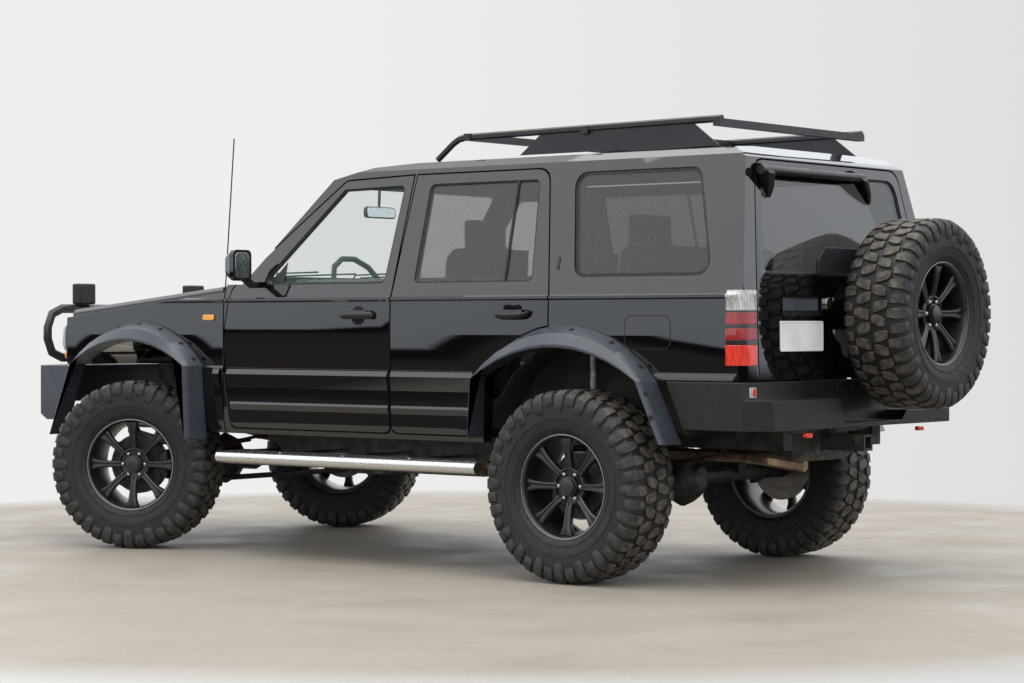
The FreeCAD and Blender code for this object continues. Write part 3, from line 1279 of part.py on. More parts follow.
def floor_pan():
    """Floor with its tunnel, firewall and rear wheel housings."""
    half = s.body_half_width - s.door_wall - s.running_gap
    z, t = s.floor_height, s.floor_thickness
    tunnel, top = s.tunnel_half_width, s.tunnel_height
    wall_y = FRONT + s.cowl_from_axle + s.running_gap
    end = REAR + s.tail_bottom_from_axle - s.rear_bumper_wall - s.shut_gap
    step = REAR - s.rail_rear_run - s.rail_kick - t
    section = [(-half, z), (-tunnel, z), (-tunnel, top), (tunnel, top), (tunnel, z), (half, z),
               (half, z + t), (tunnel + t, z + t), (tunnel + t, top + t), (-tunnel - t, top + t),
               (-tunnel - t, z + t), (-half, z + t)]
    edge = within(s.sill_inset) - s.door_wall - s.shut_gap
    beside = several(both_sides(block(edge, BOUND, FRONT, step + 2 * t, 0, s.sill_step + s.shut_gap)))
    wall_end = wall_y + s.firewall_thickness
    floor = front_prism(section, wall_end + s.running_gap, step - s.running_gap)
    wall_top = above(s.cowl_rise) - s.gate_wall - s.shut_gap
    wall = block(-half, half, wall_y, wall_end, z, wall_top)
    wall = wall.cut(block(-tunnel, tunnel, wall_y - t, wall_end + t, 0, top))
    boot = s.boot_floor_height
    riser = block(-half, half, step, step + t, z, boot + t)
    riser = riser.cut(block(-tunnel, tunnel, step - t, step + 2 * t, 0, top))
    boot_floor = block(-half, half, step, end, boot, boot + t)
    inner = s.rear_liner_inner
    housings = both_sides(liner(REAR + s.rear_liner_setback, inner, half, z + t))
    axis_y, axis_z = REAR + s.rear_liner_setback, s.liner_centre_height
    room = rod(V(inner, axis_y, axis_z), V(half + t, axis_y, axis_z), s.liner_radius, s.liner_sides)
    boot_floor = boot_floor.cut(several(both_sides(room)))
    riser = riser.cut(several(both_sides(room)))
    boot_set = joined([riser, boot_floor] + housings)
    keep("floor_pan", several([wall, floor.cut(beside), boot_set.cut(beside)]))


def liner(y, x_in, x_out, z_low):
    """Half-round wheel housing with its inner wall."""
    wall = s.liner_thickness
    z = s.liner_centre_height
    x = x_in - wall
    drum = rod(V(x, y, z), V(x_out, y, z), s.liner_radius + wall, s.liner_sides)
    room = rod(V(x_in, y, z), V(x_out + s.cut_overrun, y, z), s.liner_radius, s.liner_sides)
    reach = s.liner_radius + wall + s.cut_overrun
    above = block(x, x_out, y - reach, y + reach, z_low, z + reach)
    return drum.cut(room).common(above)


def front_body():
    """Front wings with their wheel arches, inner liners and the front panel between the lamps."""
    rear = FRONT + s.cowl_from_axle - s.shut_gap
    nose = FRONT - s.nose_from_axle
    corner = FRONT - s.wing_front_from_axle
    half = s.body_half_width
    wall = s.wing_wall
    low = s.bumper_top + s.shut_gap
    top_rear, top_front = above(s.bonnet_side_rise), above(-s.bonnet_side_drop)
    outline = [(half, rear), (half, corner), (within(s.nose_inset), nose, s.wing_corner), (0, nose),
               (0, rear)]
    outside = plan_prism(outline, s.sill_bottom, above(s.cowl_rise))
    inside = [(half - wall, rear + wall), (half - wall, corner + wall),
              (within(s.nose_inset) - wall, nose + wall, s.wing_corner / 2), (-wall, nose + wall),
              (-wall, rear + wall)]
    wing = outside.cut(plan_prism(inside, s.sill_bottom - wall, above(s.cowl_rise) + wall))
    view = side_prism([(rear, s.sill_bottom), (rear, top_rear), (nose, top_front), (nose, low),
                       (corner, low), (FRONT, low), (FRONT, s.sill_bottom)], 0, BOUND)
    ledge = side_prism([(rear, top_rear - wall), (rear, top_rear), (nose, top_front),
                        (nose, top_front - wall)], within(s.bonnet_inset) - s.bonnet_wall, half)
    wing = joined([wing.common(view), ledge.common(outside)]).common(section_solid(0, 0, 0, *SPAN))
    wing = wing.cut(arch_prism(FRONT_ARCH, s.arch_margin, s.liner_inner, BOUND, ARCH_BOTTOM))
    shield = liner(FRONT - s.liner_setback, s.liner_inner, half - wall, low)
    shield_rear = liner(FRONT - s.liner_setback, s.liner_inner, half - wall, s.floor_height)
    shield_rear = shield_rear.common(block(0, half, FRONT, rear, 0, above(s.cowl_rise)))
    cavity = block(0, half - wall, nose + wall, rear, s.sill_bottom, above(s.cowl_rise))
    shield = joined([shield, shield_rear]).common(cavity)
    room = []
    for side in (1, -1):
        x = side * within(s.headlamp_inset)
        room.append(block(x - s.headlamp_width / 2, x + s.headlamp_width / 2, nose - s.cut_overrun,
                          nose + wall * 4, s.headlamp_low, s.headlamp_low + s.headlamp_height))
    grille_half = s.grille_width / 2
    room.append(block(-grille_half, grille_half, nose - s.cut_overrun, nose + wall * 2, s.grille_low,
                      s.grille_low + s.grille_height))
    keep("front_body", joined(both_sides(wing) + both_sides(shield)).cut(several(room)))


def front_lamps():
    """Headlamps in the front panel and two square lamps on the bar."""
    nose = "front_axle - nose_from_axle"
    bar_y = "front_axle - bar_setback - bar_tube_radius"
    bar_z = "belt_height - bar_drop + bar_tube_radius + running_gap"
    head = box("headlamp", ("(body_half_width - headlamp_inset) - headlamp_width / 2 + running_gap",
                            "(body_half_width - headlamp_inset) + headlamp_width / 2 - running_gap"),
               (f"{nose} - tail_lamp_proud", f"{nose} + headlamp_depth"),
               ("headlamp_low + running_gap", "headlamp_low + headlamp_height - running_gap"))
    spot = box("bar_lamp", ("lamp_x - lamp_size / 2", "lamp_x + lamp_size / 2"),
               (bar_y, f"{bar_y} + lamp_depth"), (bar_z, f"{bar_z} + lamp_size"))
    piece("front_lamps", grouped("front_lamps", [head, other_side(head), spot, other_side(spot)]))


def front_grille():
    """Grille frame with level bars."""
    nose = "front_axle - nose_from_axle"
    half = "(grille_width / 2 - running_gap)"
    low, high = "grille_low + running_gap", "grille_low + grille_height - running_gap"
    frame = box("grille_frame_block", (f"-{half}", half),
                (f"{nose} - tail_lamp_proud", f"{nose} + grille_depth"), (low, high))
    room = box("grille_room", (f"grille_frame - {half}", f"{half} - grille_frame"),
               (f"{nose} - grille_depth", f"{nose} + 2 * grille_depth"),
               (f"{low} + grille_frame", f"{high} - grille_frame"))
    solids = [less("grille_ring", frame, [room])]
    clear = "(grille_height - 2 * running_gap - 2 * grille_frame)"
    for i in range(1, int(s.grille_bar_count) + 1):
        z = f"{low} + grille_frame + {clear} * {i} / (grille_bar_count + 1)"
        solids.append(box("grille_bar_block",
                          (f"grille_frame / 2 - {half}", f"{half} - grille_frame / 2"),
                          (nose, f"{nose} + grille_depth / 2"),
                          (f"{z} - grille_bar / 2", f"{z} + grille_bar / 2")))
    piece("front_grille", fused("front_grille", solids))


def bonnet():
    """Bonnet: a crowned lid with turned-down side edges, hinged at its rear edge."""
    rear = FRONT + s.cowl_from_axle - s.shut_gap
    front = FRONT - s.bonnet_front_from_axle
    x = within(s.bonnet_inset)
    top = [
        (rear, above(s.bonnet_side_rise) + s.bonnet_lid_gap), (rear, above(s.bonnet_rear_rise)),
        (front, above(-s.bonnet_front_drop)), (front, above(-s.bonnet_side_drop) + s.bonnet_lid_gap)]
    lid = side_prism(top, -x, x)
    lid = lid.makeChamfer(s.bonnet_edge, [e for e in lid.Edges if is_bonnet_edge(e, x)])
    inner = side_prism([(rear - s.bonnet_wall, 0),
                        (rear - s.bonnet_wall, above(s.bonnet_rear_rise) - s.bonnet_wall),
                        (front + s.bonnet_wall, above(-s.bonnet_front_drop) - s.bonnet_wall),
                        (front + s.bonnet_wall, 0)], -x + s.bonnet_wall, x - s.bonnet_wall)
    keep("bonnet", lid.cut(inner))


def is_bonnet_edge(edge, x):
    box = edge.BoundBox
    high = box.ZMin > above(-s.bonnet_side_drop) + s.bonnet_wall
    return high and box.YLength > s.wheelbase / 4 and abs(abs(box.Center.x) - x) < s.running_gap


def front_bumper():
    """Boxy steel bumper: swept corners, upright face and a slanted chin."""
    nose = FRONT - s.bumper_nose_from_axle
    corner = FRONT - s.bumper_corner_from_axle
    side = FRONT - s.bumper_side_from_axle
    half = within(s.bumper_inset)
    straight = within(s.bumper_straight_inset)
    plan = [(straight, nose), (within(s.bumper_corner_inset), corner, s.bumper_wall / 2),
            (half, corner + s.bumper_wall), (half, side), (-half, side), (-half, corner + s.bumper_wall),
            (-within(s.bumper_corner_inset), corner, s.bumper_wall / 2), (-straight, nose)]
    solid = plan_prism(plan, s.bumper_bottom, s.bumper_top)
    chin = side_prism([(nose - s.cut_overrun, s.bumper_bottom - s.cut_overrun),
                       (nose - s.cut_overrun, s.bumper_face_low), (nose, s.bumper_face_low),
                       (nose + s.bumper_chin, s.bumper_bottom),
                       (nose + s.bumper_chin, s.bumper_bottom - s.cut_overrun)], -BOUND, BOUND)
    wheel_room = [(half + s.cut_overrun, side + s.cut_overrun),
                  (half + s.cut_overrun, side - s.bumper_wall),
                  (half - s.bumper_wall, side - s.bumper_wall),
                  (within(s.bumper_corner_inset) - s.bumper_wall, corner + s.bumper_wall),
                  (straight, nose + s.bumper_wall), (-straight, nose + s.bumper_wall),
                  (-within(s.bumper_corner_inset) + s.bumper_wall, corner + s.bumper_wall),
                  (-half + s.bumper_wall, side - s.bumper_wall),
                  (-half - s.cut_overrun, side - s.bumper_wall),
                  (-half - s.cut_overrun, side + s.cut_overrun)]
    hollow = plan_prism(wheel_room, s.bumper_bottom - s.cut_overrun, s.bumper_top - s.bumper_skin)
    hollow_top = plan_prism([(within(s.bumper_corner_inset), FRONT - s.nose_from_axle - s.shut_gap),
                             (within(s.bumper_corner_inset), side + s.cut_overrun),
                             (-within(s.bumper_corner_inset), side + s.cut_overrun),
                             (-within(s.bumper_corner_inset), FRONT - s.nose_from_axle - s.shut_gap)],
                            s.bumper_bottom, s.bumper_top + s.cut_overrun)
    rake = side_prism([(side, s.bumper_top + s.cut_overrun), (side, s.bumper_top),
                       (side - s.bumper_rake, s.bumper_bottom),
                       (side - s.bumper_rake, s.bumper_bottom - s.cut_overrun),
                       (side + s.cut_overrun, s.bumper_bottom - s.cut_overrun),
                       (side + s.cut_overrun, s.bumper_top + s.cut_overrun)], -BOUND, BOUND)
    keep("front_bumper", solid.cut(chin).cut(hollow).cut(hollow_top).cut(rake))


def bull_bar():
    """Round-cornered tube loop on the bumper with two uprights."""
    y = FRONT - s.bar_setback
    half, low, high = within(s.bar_inset), above(-s.bar_foot_drop), above(-s.bar_drop)
    loop = bent_tube([V(0, y, low), V(half, y, low), V(half, y, high), V(-half, y, high),
                      V(-half, y, low), V(0, y, low)], s.bar_tube_radius, [s.bar_corner] * 4)
    pieces = [loop]
    for side in (1, -1):
        x = side * s.bar_upright_x
        pieces.append(rod(V(x, y, low), V(x, y, high), s.bar_tube_radius))
        foot = s.bumper_top + s.running_gap
        pieces.append(block(x - s.bar_tube_radius, x + s.bar_tube_radius, y, y + s.bar_tube_radius * 2,
                            foot, low))
    keep("bull_bar", joined(pieces))


def arch_flares():
    front = flare(FRONT_ARCH, s.flare_foot)
    rear = flare(REAR_ARCH, s.rear_flare_foot)
    keep("arch_flares", several(both_sides(front) + both_sides(rear)))


def side_steps():
    """Side steps: a tube with a flat tread plate and arms to the chassis."""
    front, rear = "front_axle + step_front_from_axle", "rear_axle - step_rear_from_axle"
    solids = [bar("step_tube", "y", ("(body_half_width - step_inset)", front, "step_height"),
                  f"{rear} - ({front})", "step_tube_radius"),
              box("step_plate",
                  ("(body_half_width - step_inset) - step_plate_width", "(body_half_width - step_inset)"),
                  (f"{front} + step_tube_radius", f"{rear} - step_tube_radius"),
                  ("step_height + step_tube_radius - step_plate_thickness",
                   "step_height + step_tube_radius"))]
    inner = "rail_offset + rail_width / 2 + running_gap"
    for share in step_arm_shares:
        y = f"{front} + ({rear} - ({front})) * {share}"
        solids.append(bar("step_arm", "x", (inner, y, "step_height + step_tube_radius / 2"),
                          f"(body_half_width - step_inset) - ({inner})",
                          "step_arm_radius"))
    step = fused("step", solids)
    piece("side_steps", grouped("side_steps", [step, other_side(step)]))


step_arm_shares = (0.25, 0.5, 0.75)


def roof_rack():
    """Tube rack: bent side rails with feet on the roof, infill panels and three cross bars."""
    x = within(s.rack_inset)
    front, rear = FRONT + s.rack_front_from_axle, REAR + s.rack_rear_from_axle
    foot, high = above(s.rack_foot_rise), above(s.rack_rise)
    r = s.rack_tube_radius
    rail = bent_tube([V(x, front, foot), V(x, front + s.rack_bend, high), V(x, rear + r, high + r)], r,
                     [s.rack_bend])
    panel = side_prism([(front + s.rack_panel_lead, foot),
                        (front + s.rack_panel_lead + s.rack_bend, high), (rear - s.rack_bend, high),
                        (rear, foot)], x - s.rack_panel_thickness / 2, x + s.rack_panel_thickness / 2)
    rail = joined([rail, panel])
    half = s.rack_bar_half
    pieces = both_sides(rail)
    run = rear - front
    for share in rack_bar_shares:
        y = front + run * share
        pieces.append(block(-x - half, x + half, y - half, y + half, high - r, high + r))
    keep("roof_rack", joined(pieces).cut(OUTER_ROOF))


rack_bar_shares = (0.12, 0.55, 1.0)
OUTER_ROOF = even_envelope(-s.running_gap)


def rear_bumper():
    """Stepped steel bumper: higher on the left, notched in the middle, lower behind the spare wheel."""
    face, side = "rear_axle + rear_bumper_face", "rear_axle + rear_bumper_side_from_axle"
    tail = "rear_axle + tail_bottom_from_axle"
    half, wide = "(body_half_width - rear_bumper_inset)", "(body_half_width - rear_bumper_side_inset)"
    wall = "rear_bumper_wall"
    far, over = "(body_half_width + flare_outset + cut_overrun)", "rear_bumper_side_top + cut_overrun"
    plan = [(half, face), (wide, tail), (wide, side), (f"{wide} - {wall}", side),
            (f"{wide} - {wall}", f"{tail} - {wall}"), (f"{wall} - {wide}", f"{tail} - {wall}"),
            (f"{wall} - {wide}", side), (f"-{wide}", side), (f"-{wide}", tail), (f"-{half}", face)]
    bumper = drawn("bumper_block", "plan", plan, "rear_bumper_bottom", "rear_bumper_side_top")
    top = [(f"-{far}", over), (f"-{far}", "rear_bumper_low_top"),
           ("rear_notch_right - rear_notch_slope", "rear_bumper_low_top"),
           ("rear_notch_right", "rear_notch_floor"), ("rear_notch_left", "rear_notch_floor"),
           ("rear_notch_left + rear_notch_slope", "rear_bumper_top"), (far, "rear_bumper_top"),
           (far, over)]
    room = drawn("bumper_top_room", "front", top, f"{tail} + shut_gap / 2", f"{face} + cut_overrun")
    low, start = "rear_bumper_bottom - cut_overrun", f"{side} - cut_overrun"
    slope = [(start, low), (f"{side} + rear_bumper_rake", low), (side, "rear_bumper_side_top"),
             (start, "rear_bumper_side_top")]
    rake = drawn("bumper_rake_room", "side", slope, f"-{far}", far)
    piece("rear_bumper", less("rear_bumper", bumper, [room, rake]))


def lamp_room(gap):
    """Room of a tail lamp let into the body's rear corner, or the lamp itself with a gap round it."""
    y = REAR + s.tail_bottom_from_axle
    room = block(within(s.tail_lamp_inset) + gap, BOUND, y - s.tail_lamp_wrap + gap, y + s.tail_lamp_wrap,
                 s.tail_lamp_low + gap, s.tail_lamp_high - gap)
    return room.cut(even_envelope(s.tail_lamp_depth - gap))


def tail_lamps():
    """Upright lamps let into the rear corners and a little proud of them."""
    lamp = lamp_room(s.running_gap).common(even_envelope(-s.tail_lamp_proud))
    keep("tail_lamps", several(both_sides(lamp)))


def aerial():
    x, y = within(s.aerial_inset), FRONT + s.aerial_from_axle
    low = above(s.bonnet_side_rise) + s.running_gap
    base = cylinder_z(x, y, low, s.aerial_base_radius, s.aerial_base_height)
    whip = rod(V(x, y, low), V(x, y + s.aerial_lean, above(s.aerial_rise)), s.aerial_radius, s.tube_sides)
    keep("aerial", joined([base, whip]))


# Inside

def seats():
    """Two front seats and a rear bench as plain closed cushions."""
    front = seat("front_seat", "seat_x", "front_axle + seat_front_from_axle", "seat_width", ("0",),
                 "floor_height", "0")
    bench = seat("bench", "0", "rear_axle - bench_from_axle", "bench_width", ("-seat_x", "seat_x"),
                 "boot_floor_height",
                 "bench_rise")
    piece("seats", grouped("seats", [front, other_side(front), bench]))


def seat(name, x, y, width, heads, floor, rise):
    """One seat: a cushion and leaning back in one outline, a plinth and its head restraints."""
    top, lift = f"seat_base_height + {rise}", "belt_height + seat_back_rise"
    under = f"{top} - seat_cushion"
    back = f"{y} + seat_base_depth"
    lean = f"{back} + seat_recline"
    outline = [
        (y, under), (y, f"{top} - seat_edge"), (f"{y} + seat_edge", top), (back, top),
        (lean, f"{lift} - seat_edge"), (f"{lean} + seat_edge", lift),
        (f"{lean} + seat_back_thickness", lift), (f"{back} + seat_back_thickness", under)]
    solids = [
        drawn(f"{name}_cushions", "side", outline, f"{x} - {width} / 2", f"{x} + {width} / 2"),
        box(f"{name}_plinth", (f"{x} - {width} / 2 + seat_plinth", f"{x} + {width} / 2 - seat_plinth"),
            (f"{y} + seat_plinth", back), (f"{floor} + floor_thickness + running_gap", under))]
    for head in heads:
        solids.append(box(f"{name}_head_restraint",
                          (f"{x} + {head} - headrest_width / 2", f"{x} + {head} + headrest_width / 2"),
                          (lean, f"{lean} + headrest_thickness"),
                          (f"{lift} - headrest_gap", f"{lift} - headrest_gap + headrest_height")))
    return fused(name, solids)


def dashboard():
    """Dashboard across the cabin with the steering column and wheel."""
    y = FRONT + s.dash_from_axle
    half = within(s.dash_inset)
    end, top = y + s.dash_depth, above(s.dash_top_rise)
    profile = [
        (y, s.dash_low), (y, top - s.dash_nose, s.dash_edge),
        ((y + end) / 2, top - s.dash_nose / 2, s.dash_edge), (end, top - s.dash_nose, s.dash_edge),
        (end, s.dash_low + s.dash_nose, s.dash_edge), ((y + end) / 2, s.dash_low)]
    dash = side_prism(profile, -half, half)
    angle = math.radians(s.wheel_tilt)
    centre = V(s.wheel_x, FRONT + s.wheel_from_axle, above(s.wheel_rise))
    axis = V(0, -math.cos(angle), -math.sin(angle))
    grip = ring(centre, axis, s.wheel_rim_radius, s.wheel_chords)
    rim = tube(grip + grip[:1], s.wheel_grip_radius, s.tube_sides)
    column = rod(centre, centre + axis * s.column_length, s.column_radius)
    hub = rod(centre - axis * s.wheel_grip_radius, centre + axis * s.wheel_grip_radius, s.column_radius * 2)
    across = V(1, 0, 0)
    down = axis.cross(across)
    ways = (across, across * -1, down if down.z < 0 else down * -1)
    spokes = [rod(centre, centre + way * s.wheel_rim_radius, s.spoke_radius) for way in ways]
    keep("dashboard", joined([dash, rim, column, hub] + spokes))


wheels()
knuckle(1, "knuckle_left")
knuckle(-1, "knuckle_right")
tie_rod()
axles()
shock_absorbers()
leaf_springs()
chassis_frame()
powertrain()
fuel_tank()
exhaust()
doors()
body_shell()
tailgate()
spare_carrier()
fixed_glass()
floor_pan()
front_body()
front_lamps()
front_grille()
bonnet()
front_bumper()
bull_bar()
arch_flares()
side_steps()
roof_rack()
rear_bumper()
tail_lamps()
aerial()
seats()
dashboard()

doc.recompute()
for thing in doc.Objects:
    if "Invalid" in thing.State or "Error" in thing.State:
        raise RuntimeError(f"{thing.Label} failed: {thing.State}")
for name, feature in nodes.items():
    if feature.Shape.isNull() or not feature.Shape.isValid():
        raise RuntimeError(f"{name} has no valid shape")

os.makedirs("parts", exist_ok=True)
for name, feature in nodes.items():
    feature.Shape.exportStep(f"parts/{name}.step")
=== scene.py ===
"""Looks of the lifted off-road 4x4, piece by piece in the order in which it is put together."""
import json
import math

import bmesh
import bpy
from mathutils import Matrix, Vector
from mathutils.bvhtree import BVHTree


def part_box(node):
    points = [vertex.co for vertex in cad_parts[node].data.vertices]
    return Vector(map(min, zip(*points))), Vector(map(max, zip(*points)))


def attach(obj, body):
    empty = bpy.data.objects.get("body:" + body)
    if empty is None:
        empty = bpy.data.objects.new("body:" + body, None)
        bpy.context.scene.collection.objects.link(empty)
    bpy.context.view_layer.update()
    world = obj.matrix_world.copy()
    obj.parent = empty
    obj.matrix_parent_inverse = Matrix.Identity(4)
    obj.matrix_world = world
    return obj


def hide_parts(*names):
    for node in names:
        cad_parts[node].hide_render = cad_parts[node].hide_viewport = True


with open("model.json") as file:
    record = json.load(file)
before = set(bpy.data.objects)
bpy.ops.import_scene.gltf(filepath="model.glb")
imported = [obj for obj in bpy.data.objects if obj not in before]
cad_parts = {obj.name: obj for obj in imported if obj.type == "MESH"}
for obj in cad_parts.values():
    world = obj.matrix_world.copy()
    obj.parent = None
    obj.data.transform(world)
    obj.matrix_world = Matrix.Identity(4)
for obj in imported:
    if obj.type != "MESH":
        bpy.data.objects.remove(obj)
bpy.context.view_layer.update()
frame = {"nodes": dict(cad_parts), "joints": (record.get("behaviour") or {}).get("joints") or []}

MM = 0.001


# Ladder chassis
# Two pressed steel rails with round cross members and the tow receiver, and the live axles under
# them, welded and dipped in chassis black, a satin paint that has collected dust.

def hex_linear(code):
    """Linear colour of an sRGB hex code."""
    parts = [int(code[i:i + 2], 16) / 255 for i in (1, 3, 5)]
    return (*[v / 12.92 if v <= 0.04045 else ((v + 0.055) / 1.055) ** 2.4 for v in parts], 1.0)


def add(tree, kind, sockets=None, **settings):
    """Adds one node to a tree with its settings, and fills or links its sockets."""
    node = tree.nodes.new(kind)
    for name, value in settings.items():
        setattr(node, name, value)
    for name, value in (sockets or {}).items():
        if isinstance(value, bpy.types.NodeSocket):
            tree.links.new(value, node.inputs[name])
        else:
            node.inputs[name].default_value = value
    return node


def finish(name, colour, **sockets):
    """A new finish: one shader whose constant values stand on its own sockets."""
    material = bpy.data.materials.new(name)
    material.use_nodes = True
    shader = material.node_tree.nodes["Principled BSDF"]
    shader.inputs["Base Color"].default_value = hex_linear(colour)
    for socket, value in sockets.items():
        shader.inputs[socket.replace("_", " ")].default_value = value
    return material, material.node_tree, shader


def drift(tree, grain, low, high, stretch=(1, 1, 1), sharpness=0.15):
    """A value that wanders between low and high in patches of one grain size, in metres."""
    place = add(tree, "ShaderNodeTexCoord")
    scaled = add(tree, "ShaderNodeMapping", {
        "Vector": place.outputs["Object"], "Scale": [1 / (grain * s) for s in stretch]})
    noise = add(tree, "ShaderNodeTexNoise", {"Vector": scaled.outputs["Vector"], "Scale": 1.0, "Detail": 5.0})
    span = add(tree, "ShaderNodeMapRange", {
        "Value": noise.outputs["Fac"], "From Min": 0.5 - sharpness, "From Max": 0.5 + sharpness,
        "To Min": low, "To Max": high})
    return span.outputs["Result"]


def tinted(tree, shader, factor, first, second):
    """Gives the shader a colour between two, each a hex code or a colour output."""
    ends = [hex_linear(end) if isinstance(end, str) else end for end in (first, second)]
    mix = add(tree, "ShaderNodeMix", {0: factor, 6: ends[0], 7: ends[1]}, data_type="RGBA")
    tree.links.new(mix.outputs[2], shader.inputs["Base Color"])
    return mix.outputs[2]


def roughened(tree, shader, height, depth):
    """Raises the surface by a value, to a depth in metres."""
    bump = add(tree, "ShaderNodeBump", {"Height": height, "Distance": depth})
    tree.links.new(bump.outputs["Normal"], shader.inputs["Normal"])


def surface(name, first, second=None, patch=0, share=(0.0, 1.0), grain=None, gloss=None, **sockets):
    """A finish that drifts from one colour towards a second in patches of a size.

    share is the range of the second colour. grain is the size and the depth of the bumps, and gloss
    is the size of its patches with the lowest and the highest roughness. Sizes are in mm.
    """
    material, tree, shader = finish(name, first, **sockets)
    if second:
        tinted(tree, shader, drift(tree, patch * MM, *share), first, second)
    if gloss:
        size, low, high = gloss
        tree.links.new(drift(tree, size * MM, low, high), shader.inputs["Roughness"])
    if grain:
        size, depth = grain
        roughened(tree, shader, drift(tree, size * MM, 0.0, 1.0), depth * MM)
    return material


def painted(node, *materials):
    """Gives a CAD node's own slots their finish, leaving its mesh alone."""
    piece = frame["nodes"][node]
    for index, material in enumerate(materials):
        slot = piece.material_slots[index]
        slot.link = "OBJECT"
        slot.material = material
    return piece


def settled(piece):
    """Turns what the modifiers make into the piece's plain mesh and drops them."""
    seen = piece.evaluated_get(bpy.context.evaluated_depsgraph_get())
    mesh = bpy.data.meshes.new_from_object(seen)
    piece.modifiers.clear()
    piece.data = mesh
    mesh.name = piece.name
    return piece


def new_piece(name, mesh, *materials):
    """A scene object at the origin for a mesh that already lies in place."""
    piece = bpy.data.objects.new(name, mesh)
    bpy.context.scene.collection.objects.link(piece)
    for material in materials:
        mesh.materials.append(material)
    return piece


def softened(piece, width, corner=32.0, segments=2):
    """Rounds off the edges of a piece that turn by more than the corner's angle."""
    bevel = piece.modifiers.new("edge", "BEVEL")
    bevel.width = width
    bevel.segments = segments
    bevel.limit_method = "ANGLE"
    bevel.angle_limit = math.radians(corner)


def dressed(node, name, body, materials, edge=1.5 * MM, corner=32.0, inner=None):
    """A copy of a CAD node with merged faces, softened edges and smooth shading, which stands for it."""
    mesh = frame["nodes"][node].data.copy()
    mesh.materials.clear()
    piece = new_piece(name, mesh, *materials)
    shape = bmesh.new()
    shape.from_mesh(mesh)
    bmesh.ops.remove_doubles(shape, verts=shape.verts, dist=0.01 * MM)
    bmesh.ops.dissolve_limit(shape, angle_limit=math.radians(0.5), verts=shape.verts, edges=shape.edges)
    for face in shape.faces:
        face.smooth = True
        face.material_index = 1 if inner and inner(face) else 0
    shape.to_mesh(mesh)
    shape.free()
    mesh.set_sharp_from_angle(angle=math.radians(corner))
    if edge:
        softened(piece, edge, corner)
    weigh = piece.modifiers.new("flats", "WEIGHTED_NORMAL")
    weigh.weight = 100
    weigh.keep_sharp = True
    settled(piece)
    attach(piece, body)
    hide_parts(node)
    return piece


# Brushed-on chassis paint: satin black, dusty where dirt settles.
CHASSIS_BLACK = surface("chassis_paint", "#131313", "#4a443c", 60, (0.0, 0.55), grain=(4, 0.4),
                        gloss=(25, 0.38, 0.72))
for node, name, body in (
        ("chassis_frame", "ladder_chassis", "root"),
        ("axles", "live_axles", "root"),
        ("knuckle_left", "steering_knuckle_left", "knuckle_left"),
        ("knuckle_right", "steering_knuckle_right", "knuckle_right"),
        ("propshafts", "propeller_shafts", "root"),
        ("fuel_tank", "plastic_fuel_tank", "root")):
    dressed(node, name, body, [CHASSIS_BLACK])


# Springs, dampers and track rod
# Leaf packs and the track rod are raw spring steel gone dull and brown at its edges. The
# dampers are gas shocks with a pale painted body and a bright rod; here the rod has the pale
# enamel too.

# Oil-dark spring steel with a breath of surface rust.
SPRING_STEEL = surface("spring_steel", "#1a1919", "#4a3324", 30, (0.0, 0.8), grain=(3, 0.3),
                       Metallic=0.6, Roughness=0.55)
# Pale enamel on the damper bodies, splashed near the axle.
DAMPER_ENAMEL = surface("damper_enamel", "#cfcdc8", "#6e675d", 45, (0.0, 0.7), Roughness=0.3, Coat_Weight=0.4)
dressed("leaf_springs", "leaf_spring_packs", "root", [SPRING_STEEL])
dressed("tie_rod", "track_rod", "tie_rod", [SPRING_STEEL])
dressed("shock_absorbers", "gas_dampers", "root", [DAMPER_ENAMEL])


# Engine, gearbox and exhaust
# Cast alloy cases left raw and oily, and a mild steel exhaust that heat and road salt have
# turned straw brown.

# Sand-cast alloy: dull grey with an open grain and oil in its low places.
CAST_ALLOY = surface("sand_cast_alloy", "#6a6967", "#262423", 90, grain=(2.5, 0.6), Metallic=0.7,
                     Roughness=0.6)


def heated_steel():
    """Exhaust tube: steel tinted straw and brown by heat."""
    material, tree, shader = finish("heat_tinted_steel", "#9a8266", Metallic=0.85, Roughness=0.4)
    warm = tinted(tree, shader, drift(tree, 120 * MM, 0.0, 1.0), "#b59a78", "#5d4330")
    tinted(tree, shader, drift(tree, 18 * MM, 0.0, 0.6), warm, "#8a8078")
    tree.links.new(drift(tree, 30 * MM, 0.28, 0.6), shader.inputs["Roughness"])
    return material


dressed("powertrain", "engine_and_gearbox", "root", [CAST_ALLOY], edge=4 * MM)
dressed("exhaust", "exhaust_pipe", "root", [heated_steel()], edge=0)


# Tyres
# Mud tyres of natural rubber, moulded in one piece: a carcass with raised rings on its side
# walls, two staggered rows of centre blocks, and shoulder lugs that wrap down the side.

# Half of the outline from the bead to the middle of the tread, as (x, radius).
TYRE_PROFILE = [
    (0.118, 0.2363), (0.1182, 0.2454), (0.1292, 0.2460), (0.1350, 0.2540), (0.1445, 0.2640),
    (0.1450, 0.2680), (0.1482, 0.2690), (0.1490, 0.2745), (0.1468, 0.2757), (0.1515, 0.2930),
    (0.1542, 0.3120), (0.1570, 0.3128), (0.1572, 0.3190), (0.1552, 0.3198), (0.1560, 0.3450),
    (0.1548, 0.3700), (0.1515, 0.3920), (0.1455, 0.4120), (0.1360, 0.4265), (0.1200, 0.4315),
    (0.0850, 0.4330), (0.0400, 0.4335), (0.0, 0.4335)]
LUG_PAIRS = 20
LUG_DRAFT = 2.2
LUG_ROOT = 2.0
LUG_EDGE = 1.6 * MM
TREAD_SHARE = 0.36
WALL_DUST = 0.25
